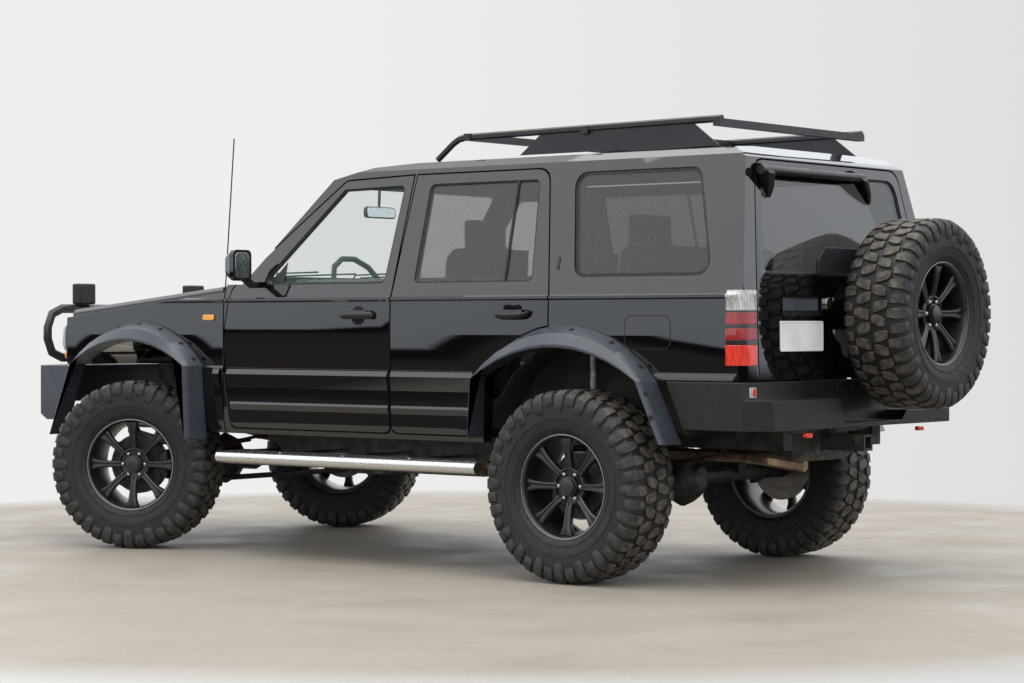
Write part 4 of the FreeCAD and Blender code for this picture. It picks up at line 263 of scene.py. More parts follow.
# Each block: where it stands in pitches, and its stations as (share of the outline from the
# middle of the tread to the bead, height, half width, skew), in mm.
LUGS = (
    (0.0, ((0.235, 11, 20, 0), (0.34, 11, 25, 0), (0.415, 10.56, 26, 0), (0.455, 8.8, 26, 0),
           (0.53, 7, 25, 0), (0.62, 5, 19, 0))),
    (1.0, ((0.27, 11, 19, 5), (0.36, 11, 24, 2), (0.43, 10.56, 25, 0), (0.47, 8.25, 25, 0),
           (0.55, 5, 23, 0))),
    (0.5, ((0.012, 11, 19, -9), (0.07, 11, 26, -5), (0.14, 11, 26, 2), (0.205, 11, 17, 8))),
    (1.5, ((0.035, 11, 25, 8), (0.10, 11, 26, 3), (0.17, 11, 25, -3), (0.24, 11, 17, -9))))


def tyre_rubber():
    """Moulded rubber: near black, a little grey with bloom, tan dust pressed into the tread tops."""
    material, tree, shader = finish("moulded_rubber", "#161616", IOR=1.5)
    rubber = tinted(tree, shader, drift(tree, 70 * MM, 0.0, 1.0), "#101010", "#1b1b1b")
    worn = add(tree, "ShaderNodeAttribute", attribute_name="worn")
    patchy = add(tree, "ShaderNodeMath", {0: worn.outputs["Fac"], 1: drift(tree, 30 * MM, 0.1, 0.8)},
                 operation="MULTIPLY")
    tinted(tree, shader, patchy.outputs["Value"], rubber, "#655c50")
    tree.links.new(drift(tree, 14 * MM, 0.5, 0.78), shader.inputs["Roughness"])
    roughened(tree, shader, drift(tree, 1.6 * MM, 0.0, 1.0), 0.18 * MM)
    return material


def bridged(shape, rows, closed=True, capped=True):
    """Faces from each row of vertices to the next; rows run round, and the end rows get a cap."""
    for row, following in zip(rows, rows[1:]):
        count = len(row)
        for k in range(count if closed else count - 1):
            after = (k + 1) % count
            shape.faces.new((row[k], row[after], following[after], following[k]))
    if capped:
        shape.faces.new(rows[0])
        shape.faces.new(rows[-1])


def meshed(name, shape):
    """The mesh of a finished bmesh, with its faces turned outwards."""
    bmesh.ops.recalc_face_normals(shape, faces=shape.faces)
    mesh = bpy.data.meshes.new(name)
    shape.to_mesh(mesh)
    shape.free()
    return mesh


def shaped(name, shape, material, corner=35.0):
    """A piece from a finished bmesh, smooth but for its corners."""
    mesh = meshed(name, shape)
    mesh.shade_smooth()
    mesh.set_sharp_from_angle(angle=math.radians(corner))
    return new_piece(name, mesh, material)


def turned(name, profile, steps, material):
    """Ring or disc turned about the x axis from (x, radius) points."""
    shape = bmesh.new()
    rows = []
    for step in range(steps):
        angle = 2 * math.pi * step / steps
        rows.append([shape.verts.new((x, r * math.cos(angle), r * math.sin(angle))) for x, r in profile])
    bridged(shape, rows + rows[:1], closed=False, capped=False)
    bmesh.ops.remove_doubles(shape, verts=shape.verts, dist=0.001 * MM)
    return shaped(name, shape, material, corner=38)


def profile_point(share, lift):
    """A point on the tyre's outline, lifted off it, by its share of the way from the tread to the rim."""
    half = TYRE_PROFILE[::-1]
    lengths = [math.dist(a, b) for a, b in zip(half, half[1:])]
    run = share * sum(lengths)
    for (a, b), length in zip(zip(half, half[1:]), lengths):
        if run <= length:
            t = run / length
            way = Vector((b[0] - a[0], b[1] - a[1])) / length
            spot = Vector((a[0] + (b[0] - a[0]) * t, a[1] + (b[1] - a[1]) * t))
            return spot + Vector((-way.y, way.x)) * lift
        run -= length
    return Vector(half[-1])


def lug(shape, stations, turn, worn):
    """One rubber block through its stations, leaning in a little towards its top."""
    rings = []
    for share, height, half, skew in stations:
        top = profile_point(share, height * MM)
        foot = profile_point(share, -LUG_ROOT * MM)
        ring = []
        for point, spread in ((top, LUG_DRAFT - half), (top, half - LUG_DRAFT), (foot, half), (foot, -half)):
            angle = turn + (spread + skew) * MM / point.y
            ring.append(shape.verts.new((point.x, point.y * math.cos(angle), point.y * math.sin(angle))))
        for vert in ring[:2]:
            vert[worn] = 1.0 if share < TREAD_SHARE else WALL_DUST
        rings.append(ring)
    bridged(shape, rings)


def lug_pitch():
    """The blocks of one pair of pitches on both sides of the tyre, with softened edges."""
    shape = bmesh.new()
    worn = shape.verts.layers.float.new("worn")
    pitch = math.pi / LUG_PAIRS
    for place, stations in LUGS:
        lug(shape, stations, place * pitch, worn)
    copy = bmesh.ops.duplicate(shape, geom=shape.verts[:] + shape.edges[:] + shape.faces[:])
    far = [item for item in copy["geom"] if isinstance(item, bmesh.types.BMVert)]
    shift = Matrix.Rotation(pitch / 2, 4, "X") @ Matrix.Scale(-1, 4, (1, 0, 0))
    bmesh.ops.transform(shape, matrix=shift, verts=far)
    piece = new_piece("lug_pitch", meshed("lug_pitch", shape))
    softened(piece, LUG_EDGE, corner=40, segments=1)
    settled(piece).data.shade_smooth()
    return piece


def tree_with(name, **inputs):
    """A geometry tree that takes geometry and the named inputs, and the node that gives them out."""
    tree = bpy.data.node_groups.new(name, "GeometryNodeTree")
    for label, kind in {"Geometry": "Geometry", **inputs}.items():
        tree.interface.new_socket(label, in_out="INPUT", socket_type=f"NodeSocket{kind}")
    tree.interface.new_socket("Geometry", in_out="OUTPUT", socket_type="NodeSocketGeometry")
    return tree, add(tree, "NodeGroupInput")


def made_real(tree, start, copies):
    """Ends a tree: its copies made real, in the finish of its input."""
    real = add(tree, "GeometryNodeRealizeInstances", {"Geometry": copies.outputs["Instances"]})
    coated = add(tree, "GeometryNodeSetMaterial", {
        "Geometry": real.outputs["Geometry"], "Material": start.outputs["Finish"]})
    add(tree, "NodeGroupOutput", {"Geometry": coated.outputs["Geometry"]})
    return tree


def ring_of_copies():
    """Tree that repeats its geometry round the x axis and gives it one finish."""
    tree, start = tree_with("ring_of_copies", Copies="Int", Finish="Material")
    points = add(tree, "GeometryNodePoints", {"Count": start.outputs["Copies"]})
    index = add(tree, "GeometryNodeInputIndex")
    step = add(tree, "ShaderNodeMath", {0: 2 * math.pi, 1: start.outputs["Copies"]}, operation="DIVIDE")
    angle = add(tree, "ShaderNodeMath", {0: index.outputs["Index"], 1: step.outputs["Value"]},
                operation="MULTIPLY")
    euler = add(tree, "ShaderNodeCombineXYZ", {"X": angle.outputs["Value"]})
    turn = add(tree, "FunctionNodeEulerToRotation", {"Euler": euler.outputs["Vector"]})
    copies = add(tree, "GeometryNodeInstanceOnPoints", {
        "Points": points.outputs["Points"], "Instance": start.outputs["Geometry"],
        "Rotation": turn.outputs["Rotation"]})
    return made_real(tree, start, copies)


def grown_by(piece, tree, **values):
    """Runs a tree on a piece with the values of its named inputs and keeps the plain result."""
    modifier = piece.modifiers.new(tree.name, "NODES")
    modifier.node_group = tree
    for item in tree.interface.items_tree:
        if item.in_out == "INPUT" and item.name in values:
            modifier[item.identifier] = values[item.name]
    return settled(piece)


def together(name, parts):
    """One mesh from several pieces, each in its finish; the pieces are removed."""
    materials = []
    shape = bmesh.new()
    for piece, material in parts:
        if material not in materials:
            materials.append(material)
        for face in piece.data.polygons:
            face.material_index = materials.index(material)
        shape.from_mesh(piece.data)
        bpy.data.objects.remove(piece)
    mesh = bpy.data.meshes.new(name)
    shape.to_mesh(mesh)
    shape.free()
    mesh.set_sharp_from_angle(angle=math.radians(38))
    return new_piece(name, mesh, *materials)


def wheel_place(place):
    """Where a wheel stands: its centre, with its outward side along the local x axis."""
    low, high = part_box(f"tyre_{place}")
    axis = Vector((0, 1, 0))
    for joint in frame["joints"]:
        if joint["name"] == f"spin_{place}":
            axis = Vector(joint["axis"])
            axis *= -1 if axis.x * joint["pos_m"][0] < 0 else 1
    up = Vector((0, 0, 1))
    columns = (axis, up.cross(axis), up)
    turn = Matrix([[column[row] for column in columns] for row in range(3)]).to_4x4()
    return Matrix.Translation((low + high) / 2) @ turn


def mounted(pattern, name, node):
    """A copy of a wheel piece on each wheel, riding with it and standing for its node."""
    for place, body in WHEEL_BODIES.items():
        mesh = pattern.data.copy()
        mesh.transform(wheel_place(place))
        piece = new_piece(f"{name}_{place}", mesh)
        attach(piece, body)
        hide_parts(f"{node}_{place}")
    bpy.data.objects.remove(pattern)


WHEEL_BODIES = {f"{end}_{side}": f"wheel_{end}_{side}"
                for end in ("front", "rear") for side in ("left", "right")}
WHEEL_BODIES["spare"] = "tailgate"
RING_OF_COPIES = ring_of_copies()
RUBBER = tyre_rubber()
outline = TYRE_PROFILE + [(-x, r) for x, r in TYRE_PROFILE[-2::-1]]
carcass = turned("tyre_carcass", outline + outline[:1], 160, RUBBER)
lugs = grown_by(lug_pitch(), RING_OF_COPIES, Copies=LUG_PAIRS, Finish=RUBBER)
mounted(together("tyre_pattern", [(carcass, RUBBER), (lugs, RUBBER)]), "mud_tyre", "tyre")


# Wheels
# Eight-spoke cast alloy rims in satin black: a deep barrel, slim tapered spokes with a groove
# down the middle, a recessed hub with six nuts, and a blank centre cap.

RIM_SPOKES = 8
NUT_COUNT = 6
NUT_CIRCLE = 62 * MM
RIM_PROFILE = [
    (-0.1290, 0.2450), (-0.1290, 0.2300), (-0.1200, 0.2257), (-0.0600, 0.2150), (0.0600, 0.2150),
    (0.1050, 0.2257), (0.1200, 0.2290), (0.1260, 0.2335), (0.1290, 0.2400), (0.1290, 0.2450),
    (0.1183, 0.2450), (0.1180, 0.2361), (-0.1180, 0.2361), (-0.1180, 0.2450), (-0.1290, 0.2450)]
HUB_PROFILE = [
    (0.0450, 0.0), (0.0450, 0.0860), (0.0700, 0.0900), (0.0780, 0.0850), (0.0790, 0.0800), (0.0640, 0.0740),
    (0.0620, 0.0480), (0.0800, 0.0455), (0.0810, 0.0400), (0.0945, 0.0385), (0.0965, 0.0330), (0.0950, 0.0)]
LIP_RING = [(0.1296, 0.2372), (0.1300, 0.2380), (0.1300, 0.2400), (0.1296, 0.2408), (0.1285, 0.2390),
            (0.1296, 0.2372)]
# Each section of a spoke: its radius, half width, face and thickness in mm.
SPOKE_SECTIONS = ((72, 19, 77, 30), (96, 17, 86, 30), (140, 18, 95, 28), (185, 22, 102, 28),
                  (222, 33, 107, 34))
SPOKE_GROOVE = 0.30
# Rings of a nut from its seat to its top: their height and radius in mm.
NUT_RINGS = ((60, 12), (74, 12), (79, 9.5), (82, 5))


def bright_metal(name, colour, roughness):
    """Bare machined metal with fine scratches along one way."""
    material, tree, shader = finish(name, colour, Metallic=1.0)
    scratches = drift(tree, 2 * MM, roughness * 0.7, roughness * 1.4, stretch=(1, 12, 1))
    tree.links.new(scratches, shader.inputs["Roughness"])
    return material


def spoke():
    """One tapered spoke with a groove down its face, from the hub to the barrel."""
    shape = bmesh.new()
    rings = []
    for radius, half, face, thick in SPOKE_SECTIONS:
        groove = half * SPOKE_GROOVE
        outline = [(-half, -thick), (-half, -6), (-half + 6, 0), (-groove, 0), (-groove / 2, -6),
                   (groove / 2, -6), (groove, 0), (half - 6, 0), (half, -6), (half, -thick)]
        rings.append([shape.verts.new(((face + rise) * MM, radius * MM, across * MM))
                      for across, rise in outline])
    bridged(shape, rings)
    piece = new_piece("spoke", meshed("spoke", shape))
    softened(piece, 1.5 * MM, corner=25)
    settled(piece).data.shade_smooth()
    return piece


def wheel_nut():
    """A domed six-sided nut on its stud circle."""
    shape = bmesh.new()
    rings = []
    for x, radius in NUT_RINGS:
        corners = [(radius * MM * math.cos(k * math.pi / 3), radius * MM * math.sin(k * math.pi / 3))
                   for k in range(6)]
        rings.append([shape.verts.new((x * MM, NUT_CIRCLE + y, z)) for y, z in corners])
    bridged(shape, rings)
    return new_piece("wheel_nut", meshed("wheel_nut", shape))


# Satin black powder over cast alloy, with a faint orange peel and brake dust in the corners.
RIM_BLACK = surface("satin_rim_powder", "#111112", "#2a2724", 40, (0.0, 0.6), grain=(1.2, 0.05),
                    Roughness=0.34, Coat_Weight=0.25, Coat_Roughness=0.25)
NUT_ZINC = bright_metal("zinc_nut", "#a8a8a6", 0.35)
LIP_METAL = bright_metal("machined_ring", "#9d9d9b", 0.3)
mounted(together("rim_pattern", [
    (turned("rim_barrel", RIM_PROFILE, 120, RIM_BLACK), RIM_BLACK),
    (turned("rim_hub", HUB_PROFILE, 72, RIM_BLACK), RIM_BLACK),
    (grown_by(spoke(), RING_OF_COPIES, Copies=RIM_SPOKES, Finish=RIM_BLACK), RIM_BLACK),
    (grown_by(wheel_nut(), RING_OF_COPIES, Copies=NUT_COUNT, Finish=NUT_ZINC), NUT_ZINC),
    (turned("machined_ring", LIP_RING, 120, LIP_METAL), LIP_METAL)]), "eight_spoke_rim", "rim")


# Brakes
# Vented iron discs, turned bright where the pads run, each under a cast caliper bolted to the
# knuckle or the axle end.

DISC_PROFILE = [
    (-0.012, 0.070), (-0.012, 0.158), (0.012, 0.158), (0.012, 0.095), (0.045, 0.088),
    (0.045, 0.030), (-0.012, 0.030), (-0.012, 0.070)]
DISC_INSET = 0.02
# Half depth and half length of a caliper, its radii, and how its length grows outwards.
CALIPER_HALF = (0.045, 0.075)
CALIPER_REACH = (0.118, 0.172)
CALIPER_FLARE = (0.8, 1.1)
CALIPER_BODIES = {"front_left": "knuckle_left", "front_right": "knuckle_right", "rear_left": "root",
                  "rear_right": "root"}


def fixed(piece, body):
    """Makes a finished piece ride on a body."""
    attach(piece, body)
    return piece


TURNED_IRON = bright_metal("turned_iron", "#77736e", 0.4)
for place, body in CALIPER_BODIES.items():
    hub = wheel_place(place) @ Matrix.Translation((-DISC_INSET, 0, 0))
    disc = turned(f"brake_disc_{place}", DISC_PROFILE, 72, TURNED_IRON)
    disc.data.transform(hub)
    fixed(disc, f"wheel_{place}")
    shape = bmesh.new()
    bmesh.ops.create_cube(shape, size=1.0)
    for vert in shape.verts:
        x, y, outer = vert.co
        length = math.copysign(CALIPER_HALF[1], y) * CALIPER_FLARE[outer > 0]
        vert.co = (math.copysign(CALIPER_HALF[0], x), CALIPER_REACH[outer > 0], length)
    mesh = meshed(f"brake_caliper_{place}", shape)
    mesh.transform(hub)
    caliper = new_piece(f"brake_caliper_{place}", mesh, CHASSIS_BLACK)
    softened(caliper, 12 * MM, segments=3)
    settled(caliper).data.shade_smooth()
    fixed(caliper, body)


# Body panels
# The cabin shell, wings, bonnet, doors and tailgate are pressed steel in black metallic paint
# under clear lacquer. Inside they carry grey cloth-faced trim boards and a pale headliner, which
# here has the same grey trim.

def body_paint():
    """Black metallic base under clear lacquer: a cool flake and a deep, wet gloss with slight orange peel."""
    material, tree, shader = finish("black_metallic_paint", "#030304", Roughness=0.4, IOR=1.3,
                                    Specular_IOR_Level=0.05, Coat_Weight=1.0, Coat_Roughness=0.02,
                                    Coat_IOR=1.75)
    place = add(tree, "ShaderNodeTexCoord")
    flake = add(tree, "ShaderNodeTexVoronoi", {"Vector": place.outputs["Object"], "Scale": 1 / (0.8 * MM)})
    glint = add(tree, "ShaderNodeMapRange", {
        "Value": flake.outputs["Distance"], "From Min": 0.15, "From Max": 0.5, "To Min": 0.12, "To Max": 0.0})
    tinted(tree, shader, glint.outputs["Result"], "#030305", "#272e3a")
    peel = add(tree, "ShaderNodeBump", {
        "Height": drift(tree, 6 * MM, 0.0, 1.0), "Distance": 0.02 * MM, "Strength": 0.15})
    tree.links.new(peel.outputs["Normal"], shader.inputs["Coat Normal"])
    return material


PAINT = body_paint()
# Moulded trim and headliner: matt grey with a fine grain.
TRIM_BOARD = surface("grained_trim_board", "#363637", "#474646", 200, (0.0, 0.5), grain=(4, 0.08),
                     Roughness=0.8)
CABIN_LOW, CABIN_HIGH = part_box("body_shell")


def faces_cabin(face):
    """True for the faces of a body panel that look into the cabin."""
    middle = Vector((0, (CABIN_LOW.y + CABIN_HIGH.y) / 2, (CABIN_LOW.z + CABIN_HIGH.z) / 2))
    inwards = middle - face.calc_center_median()
    strongest = max(range(3), key=lambda axis: abs(face.normal[axis]))
    along = face.normal[strongest]
    return along * inwards[strongest] > 0.05 and abs(along) > 0.8


def door_inside(face):
    """True for the inner wall of a door."""
    x = face.calc_center_median().x
    return face.normal.x * x < -0.5 * abs(x)


dressed("body_shell", "cabin_shell", "root", [PAINT, TRIM_BOARD], edge=2 * MM, inner=faces_cabin)
for node, name, body in (("front_body", "front_wings", "root"), ("bonnet", "bonnet_lid", "bonnet"),
                         ("tailgate", "tailgate_panel", "tailgate")):
    dressed(node, name, body, [PAINT], edge=2 * MM)
for place in ("front", "rear"):
    for side in ("left", "right"):
        node = f"door_{place}_{side}"
        dressed(node, f"{node}_panel", node, [PAINT, TRIM_BOARD], edge=2 * MM, inner=door_inside)


# Glass
# Toughened panes: clear with a faint green edge in the windscreen and front doors, body-tinted
# privacy glass behind, bonded or held in black rubber seals.

def window_glass(name, colour, opacity):
    """Float glass coloured in its mass: it lets light straight through and shines like lacquer."""
    return finish(name, colour, Alpha=opacity, Roughness=0.02, IOR=1.52, Coat_Weight=1.0,
                  Coat_Roughness=0.01, Coat_IOR=1.52)[0]


CLEAR_GLASS = window_glass("clear_float_glass", "#6c8f85", 0.08)
PRIVACY_GLASS = window_glass("privacy_glass", "#101313", 0.52)
SIDES = (("left", 1), ("right", -1))
for side, _ in SIDES:
    painted(f"door_glass_front_{side}", CLEAR_GLASS)
    painted(f"door_glass_rear_{side}", PRIVACY_GLASS)
dressed("fixed_glass", "windscreen_and_quarter_panes", "root", [PRIVACY_GLASS, CLEAR_GLASS],
        edge=0, inner=lambda face: face.calc_center_median().y < 0)
painted("tailgate_glass", PRIVACY_GLASS)


# Window seals
# Extruded rubber channels, black and slightly shiny at the lip, that hold each pane all round
# its opening. The sections are (inward from the rim, out of the pane) in mm.

SEAL_SECTION = ((-6, -4), (-6, 2.5), (-3, 5), (7, 5), (11, 2), (11, -4))
BONDED_SECTION = ((-7, -3), (-6, 1.5), (-2, 2.5), (16, 2.5), (17, 1), (17, -3))


def outlines(node, way):
    """The rim of each pane of a node as seen along a direction: rows of places and outward normals."""
    shape = bmesh.new()
    shape.from_mesh(frame["nodes"][node].data)
    bmesh.ops.remove_doubles(shape, verts=shape.verts, dist=0.01 * MM)
    outer = [face for face in shape.faces if face.normal.dot(Vector(way)) > 0.6]
    onward = {}
    for face in outer:
        for loop in face.loops:
            if not any(other in outer for other in loop.edge.link_faces if other != face):
                onward[loop.vert] = loop.link_loop_next.vert
    rims = []
    while onward:
        vert, rim = next(iter(onward)), []
        while vert in onward:
            facing = sum((face.normal for face in vert.link_faces if face in outer), Vector())
            rim.append((vert.co.copy(), facing.normalized()))
            vert = onward.pop(vert)
        rims.append(rim)
    shape.free()
    return rims


def band(name, rims, section, material):
    """A strip along each rim; its section is in mm inward from the rim and out of the surface."""
    shape = bmesh.new()
    for rim in rims:
        rows = []
        for index, (place, facing) in enumerate(rim):
            arriving = (place - rim[index - 1][0]).normalized()
            leaving = (rim[(index + 1) % len(rim)][0] - place).normalized()
            along = (arriving + leaving).normalized()
            inward = facing.cross(along) / max(0.5, along.dot(leaving))
            rows.append([shape.verts.new(place + inward * u * MM + facing * v * MM) for u, v in section])
        bridged(shape, rows + rows[:1], capped=False)
    return shaped(name, shape, material, corner=50)


def sealed(name, node, way, section, body):
    """A rubber seal round each pane of a node that faces a way."""
    fixed(band(name, outlines(node, way), section, SEAL_RUBBER), body)


# Extruded window rubber, matt black.
SEAL_RUBBER = surface("extruded_seal_rubber", "#0b0b0b", gloss=(20, 0.45, 0.7))
for side, sign in SIDES:
    for place in ("front", "rear"):
        sealed(f"window_seal_{place}_{side}", f"door_glass_{place}_{side}", (sign, 0, 0), SEAL_SECTION,
               f"door_{place}_{side}")
    sealed(f"quarter_seal_{side}", "fixed_glass", (sign, 0, 0), BONDED_SECTION, "root")
sealed("windscreen_seal", "fixed_glass", (0, -0.7, 0.7), SEAL_SECTION, "root")
sealed("tailgate_seal", "tailgate_glass", (0, 1, 0), SEAL_SECTION, "tailgate")


# Door fittings
# Moulded lever handles over near-black cups that are painted shade for the pocket behind each
# handle, a sail plate in each front window corner, the slanted divider between the panes of each
# rear one, a silvered glass in each mirror, and a pillar tag.

# A handle's sections: run, rise from the door and half height, in mm.
HANDLE_RISES = ((-108, 4, 9), (-100, 16, 14), (-80, 27, 17), (-45, 33, 18), (0, 34, 18), (45, 33, 18),
                (78, 28, 19), (98, 18, 18), (108, 6, 11))
HANDLE_PLACES = {"front": (-0.062, 1.230), "rear": (0.915, 1.246)}
HANDLE_DEPTH = 9
# Beside the solid's own handle, where the door's skin is plain.
HANDLE_PROBE = (-0.02, 0.055)
CUP = (94, 96, 44)
DIVIDER_SPAN = ((0.842, 1.392), (0.829, 1.872))
SAIL_CORNERS = ((-0.684, 1.400), (-0.598, 1.398), (-0.598, 1.500))
TAG_PLACE = (1.154, 1.470)
MIRROR_MIDDLE = (0.972, -0.7575, 1.487)
RAY_START = 5.0
UP = Vector((0, 0, 1))
BACKWARD = Vector((0, 1, 0))


def rounded(width, height, radius, steps=5):
    """Points round a rectangle with round corners, about its middle, in metres from millimetres."""
    points = []
    for quarter, (sx, sy) in enumerate(((1, -1), (1, 1), (-1, 1), (-1, -1))):
        for step in range(steps + 1):
            angle = (quarter - 1 + step / steps) * math.pi / 2
            points.append(((sx * (width / 2 - radius) + radius * math.cos(angle)) * MM,
                           (sy * (height / 2 - radius) + radius * math.sin(angle)) * MM))
    return points


def skin(*nodes):
    """The surface of some nodes, to set fittings on."""
    shape = bmesh.new()
    for node in nodes:
        shape.from_mesh(frame["nodes"][node].data)
    tree = BVHTree.FromBMesh(shape)
    shape.free()
    return tree


def landing(surface, place, way):
    """Where a line through a place first meets a surface on its way in, and the normal against the way."""
    way = Vector(way)
    spot, facing, _, _ = surface.ray_cast(Vector(place) - way * RAY_START, way)
    if facing and facing.dot(way) > 0:
        facing = -facing
    return spot, facing


def raised(shape, outline, way):
    """A solid in a bmesh from the places of an outline, drawn out along a way."""
    foot = [shape.verts.new(place) for place in outline]
    risen = bmesh.ops.extrude_face_region(shape, geom=[shape.faces.new(foot)])
    moved = [item for item in risen["geom"] if isinstance(item, bmesh.types.BMVert)]
    bmesh.ops.translate(shape, verts=moved, vec=way)


def laid(place, facing, outline):
    """The places of an outline's (u, v) points round a place, upright and facing one way."""
    across = UP.cross(facing).normalized()
    up = facing.cross(across)
    return [place + across * u + up * v for u, v in outline]


def slab(name, size, depth, place, facing, material, edge=1.0, sink=1.0):
    """A plate with round corners and soft edges that stands out from a surface; sizes in mm."""
    shape = bmesh.new()
    foot = laid(place - facing * sink * MM, facing, rounded(*size))
    raised(shape, foot, facing * (depth + sink) * MM)
    piece = shaped(name, shape, material, corner=50)
    softened(piece, edge * MM, corner=50)
    return settled(piece)


def lever(name, place, facing, material):
    """A pull handle: an oval bar bowed out from the door, thickest at its lock end."""
    across = UP.cross(facing).normalized()
    up = facing.cross(across)
    shape = bmesh.new()
    rows = []
    for run, rise, half in HANDLE_RISES:
        middle = place + across * run * MM + facing * rise * MM
        turns = [k * math.pi / 6 for k in range(12)]
        rows.append([shape.verts.new(middle + up * half * MM * math.cos(turn)
                                     + facing * HANDLE_DEPTH * MM * math.sin(turn)) for turn in turns])
    bridged(shape, rows)
    return shaped(name, shape, material, corner=60)


def tube(name, points, radius, material, sides=12):
    """A round bar along a row of places, with its ends closed; the radius is in mm."""
    line = bpy.data.curves.new(name, "CURVE")
    line.dimensions = "3D"
    run = line.splines.new("POLY")
    run.points.add(len(points) - 1)
    for point, place in zip(run.points, points):
        point.co = (*place, 1)
    line.bevel_depth = radius * MM
    line.bevel_resolution = sides // 4
    line.use_fill_caps = True
    piece = bpy.data.objects.new(name, line)
    bpy.context.scene.collection.objects.link(piece)
    mesh = bpy.data.meshes.new_from_object(piece.evaluated_get(bpy.context.evaluated_depsgraph_get()))
    bpy.data.objects.remove(piece)
    mesh.materials.clear()
    mesh.shade_smooth()
    mesh.set_sharp_from_angle(angle=math.radians(50))
    mesh.name = name
    return new_piece(name, mesh, material)


def moulded_plastic(name, dark, light, roughness, grain=1.6, depth=0.12):
    """Injection-moulded plastic with a fine leather-like grain, its size and depth in mm."""
    return surface(name, dark, light, 150, grain=(grain, depth),
                   gloss=(40, roughness * 0.85, roughness * 1.15), IOR=1.48)


BLACK_PLASTIC = moulded_plastic("black_moulding", "#0c0c0d", "#141414", 0.4)
# Near-black matt moulding laid as painted shade in pockets, gaps and recesses.
RECESS_SHADE_BLACK = moulded_plastic("handle_cup_moulding", "#020202", "#050505", 0.7)
ENAMEL = moulded_plastic("white_enamel", "#e4e5e3", "#d6d6d2", 0.35, depth=0.02)
# Mirror glass: a bright coat behind glass, faintly cloudy.
SILVERED = surface("silvered_glass", "#dfe3e4", gloss=(60, 0.03, 0.12), Metallic=1.0)
for side, sign in SIDES:
    inward = Vector((-sign, 0, 0))
    for place, (y, z) in HANDLE_PLACES.items():
        body = f"door_{place}_{side}"
        spot, facing = landing(skin(body), (0, y + HANDLE_PROBE[0], z + HANDLE_PROBE[1]), inward)
        spot = Vector((spot.x, y, z))
        # The cup is a thin near-black plate: painted shade for the pocket behind the handle.
        cup = slab(f"handle_cup_{place}_{side}", CUP, 1.2, spot, facing, RECESS_SHADE_BLACK, edge=0.5)
        fixed(cup, body)
        fixed(lever(f"door_handle_{place}_{side}", spot, facing, BLACK_PLASTIC), body)
    pane = skin(f"door_glass_rear_{side}")
    ends = [landing(pane, (0, y, z), inward)[0] - inward * 2 * MM for y, z in DIVIDER_SPAN]
    fixed(tube(f"pane_divider_{side}", ends, 7.5, SEAL_RUBBER), f"door_rear_{side}")
    pane = skin(f"door_glass_front_{side}")
    corners = [landing(pane, (0, y, z), inward) for y, z in SAIL_CORNERS]
    facing = corners[0][1]
    shape = bmesh.new()
    raised(shape, [place + facing * 0.5 * MM for place, _ in corners], facing * 4.5 * MM)
    fixed(shaped(f"mirror_sail_{side}", shape, BLACK_PLASTIC), f"door_front_{side}")
    spot = Vector((sign * MIRROR_MIDDLE[0], *MIRROR_MIDDLE[1:]))
    for name, size, depth, edge, material, slot in (
            ("mirror_glass", (100, 128, 22), 2, 0.8, SILVERED, "clear_glass"),
            ("mirror_rim", (122, 150, 28), 1, 0.5, BLACK_PLASTIC, "black_plastic")):
        piece = slab(f"{name}_{side}", size, depth, spot, BACKWARD, material, edge=edge)
        fixed(piece, f"door_front_{side}")
    spot, facing = landing(skin("body_shell", f"door_rear_{side}"), (0, *TAG_PLACE), inward)
    fixed(slab(f"pillar_tag_{side}", (16, 62, 4), 3, spot, facing, BLACK_PLASTIC), "root")
    face = slab(f"pillar_tag_face_{side}", (9, 26, 3), 3.6, spot - UP * 0.012, facing, ENAMEL, edge=0.4)
    fixed(face, "root")


# Wipers and cabin mirror
# Two black wiper arms parked along the foot of the windscreen, each with its blade, and the
# mirror on its stalk behind the glass.

# The foot and the tip of each blade, as (x, z).
WIPERS = (((0.62, 1.430), (0.05, 1.452)), ((0.02, 1.430), (-0.50, 1.452)))
WIPER_RISE = 9 * MM
ARM_SHARE = 0.52
BLADE_START = 0.06
ARM_LIFT = Vector((0, -0.012, 0.016))
SPINDLE = Vector((0, -0.030, -0.028))
CABIN_MIRROR = Vector((0.0, -0.700, 1.786))
SCREEN = skin("fixed_glass")
for index, ends in enumerate(WIPERS):
    landings = [landing(SCREEN, (x, 0, z), BACKWARD) for x, z in ends]
    start, end = [place + facing * WIPER_RISE for place, facing in landings]
    middle = start.lerp(end, ARM_SHARE)
    arm = tube(f"wiper_{index}_arm", [start + SPINDLE, start + ARM_LIFT, middle + ARM_LIFT], 5, SEAL_RUBBER)
    fixed(arm, "root")
    blade = tube(f"wiper_{index}_blade", [start.lerp(end, BLADE_START), middle, end], 4.5, SEAL_RUBBER)
    fixed(blade, "root")
case = slab("cabin_mirror", (240, 62, 20), 22, CABIN_MIRROR, BACKWARD, BLACK_PLASTIC, edge=6)
fixed(case, "root")
fixed(slab("cabin_mirror_glass", (222, 50, 16), 23, CABIN_MIRROR, BACKWARD, SILVERED), "root")
stalk = [CABIN_MIRROR + Vector((0, 0.005, 0.02)), CABIN_MIRROR + Vector((0, 0.010, 0.125))]
fixed(tube("cabin_mirror_stalk", stalk, 8, BLACK_PLASTIC), "root")
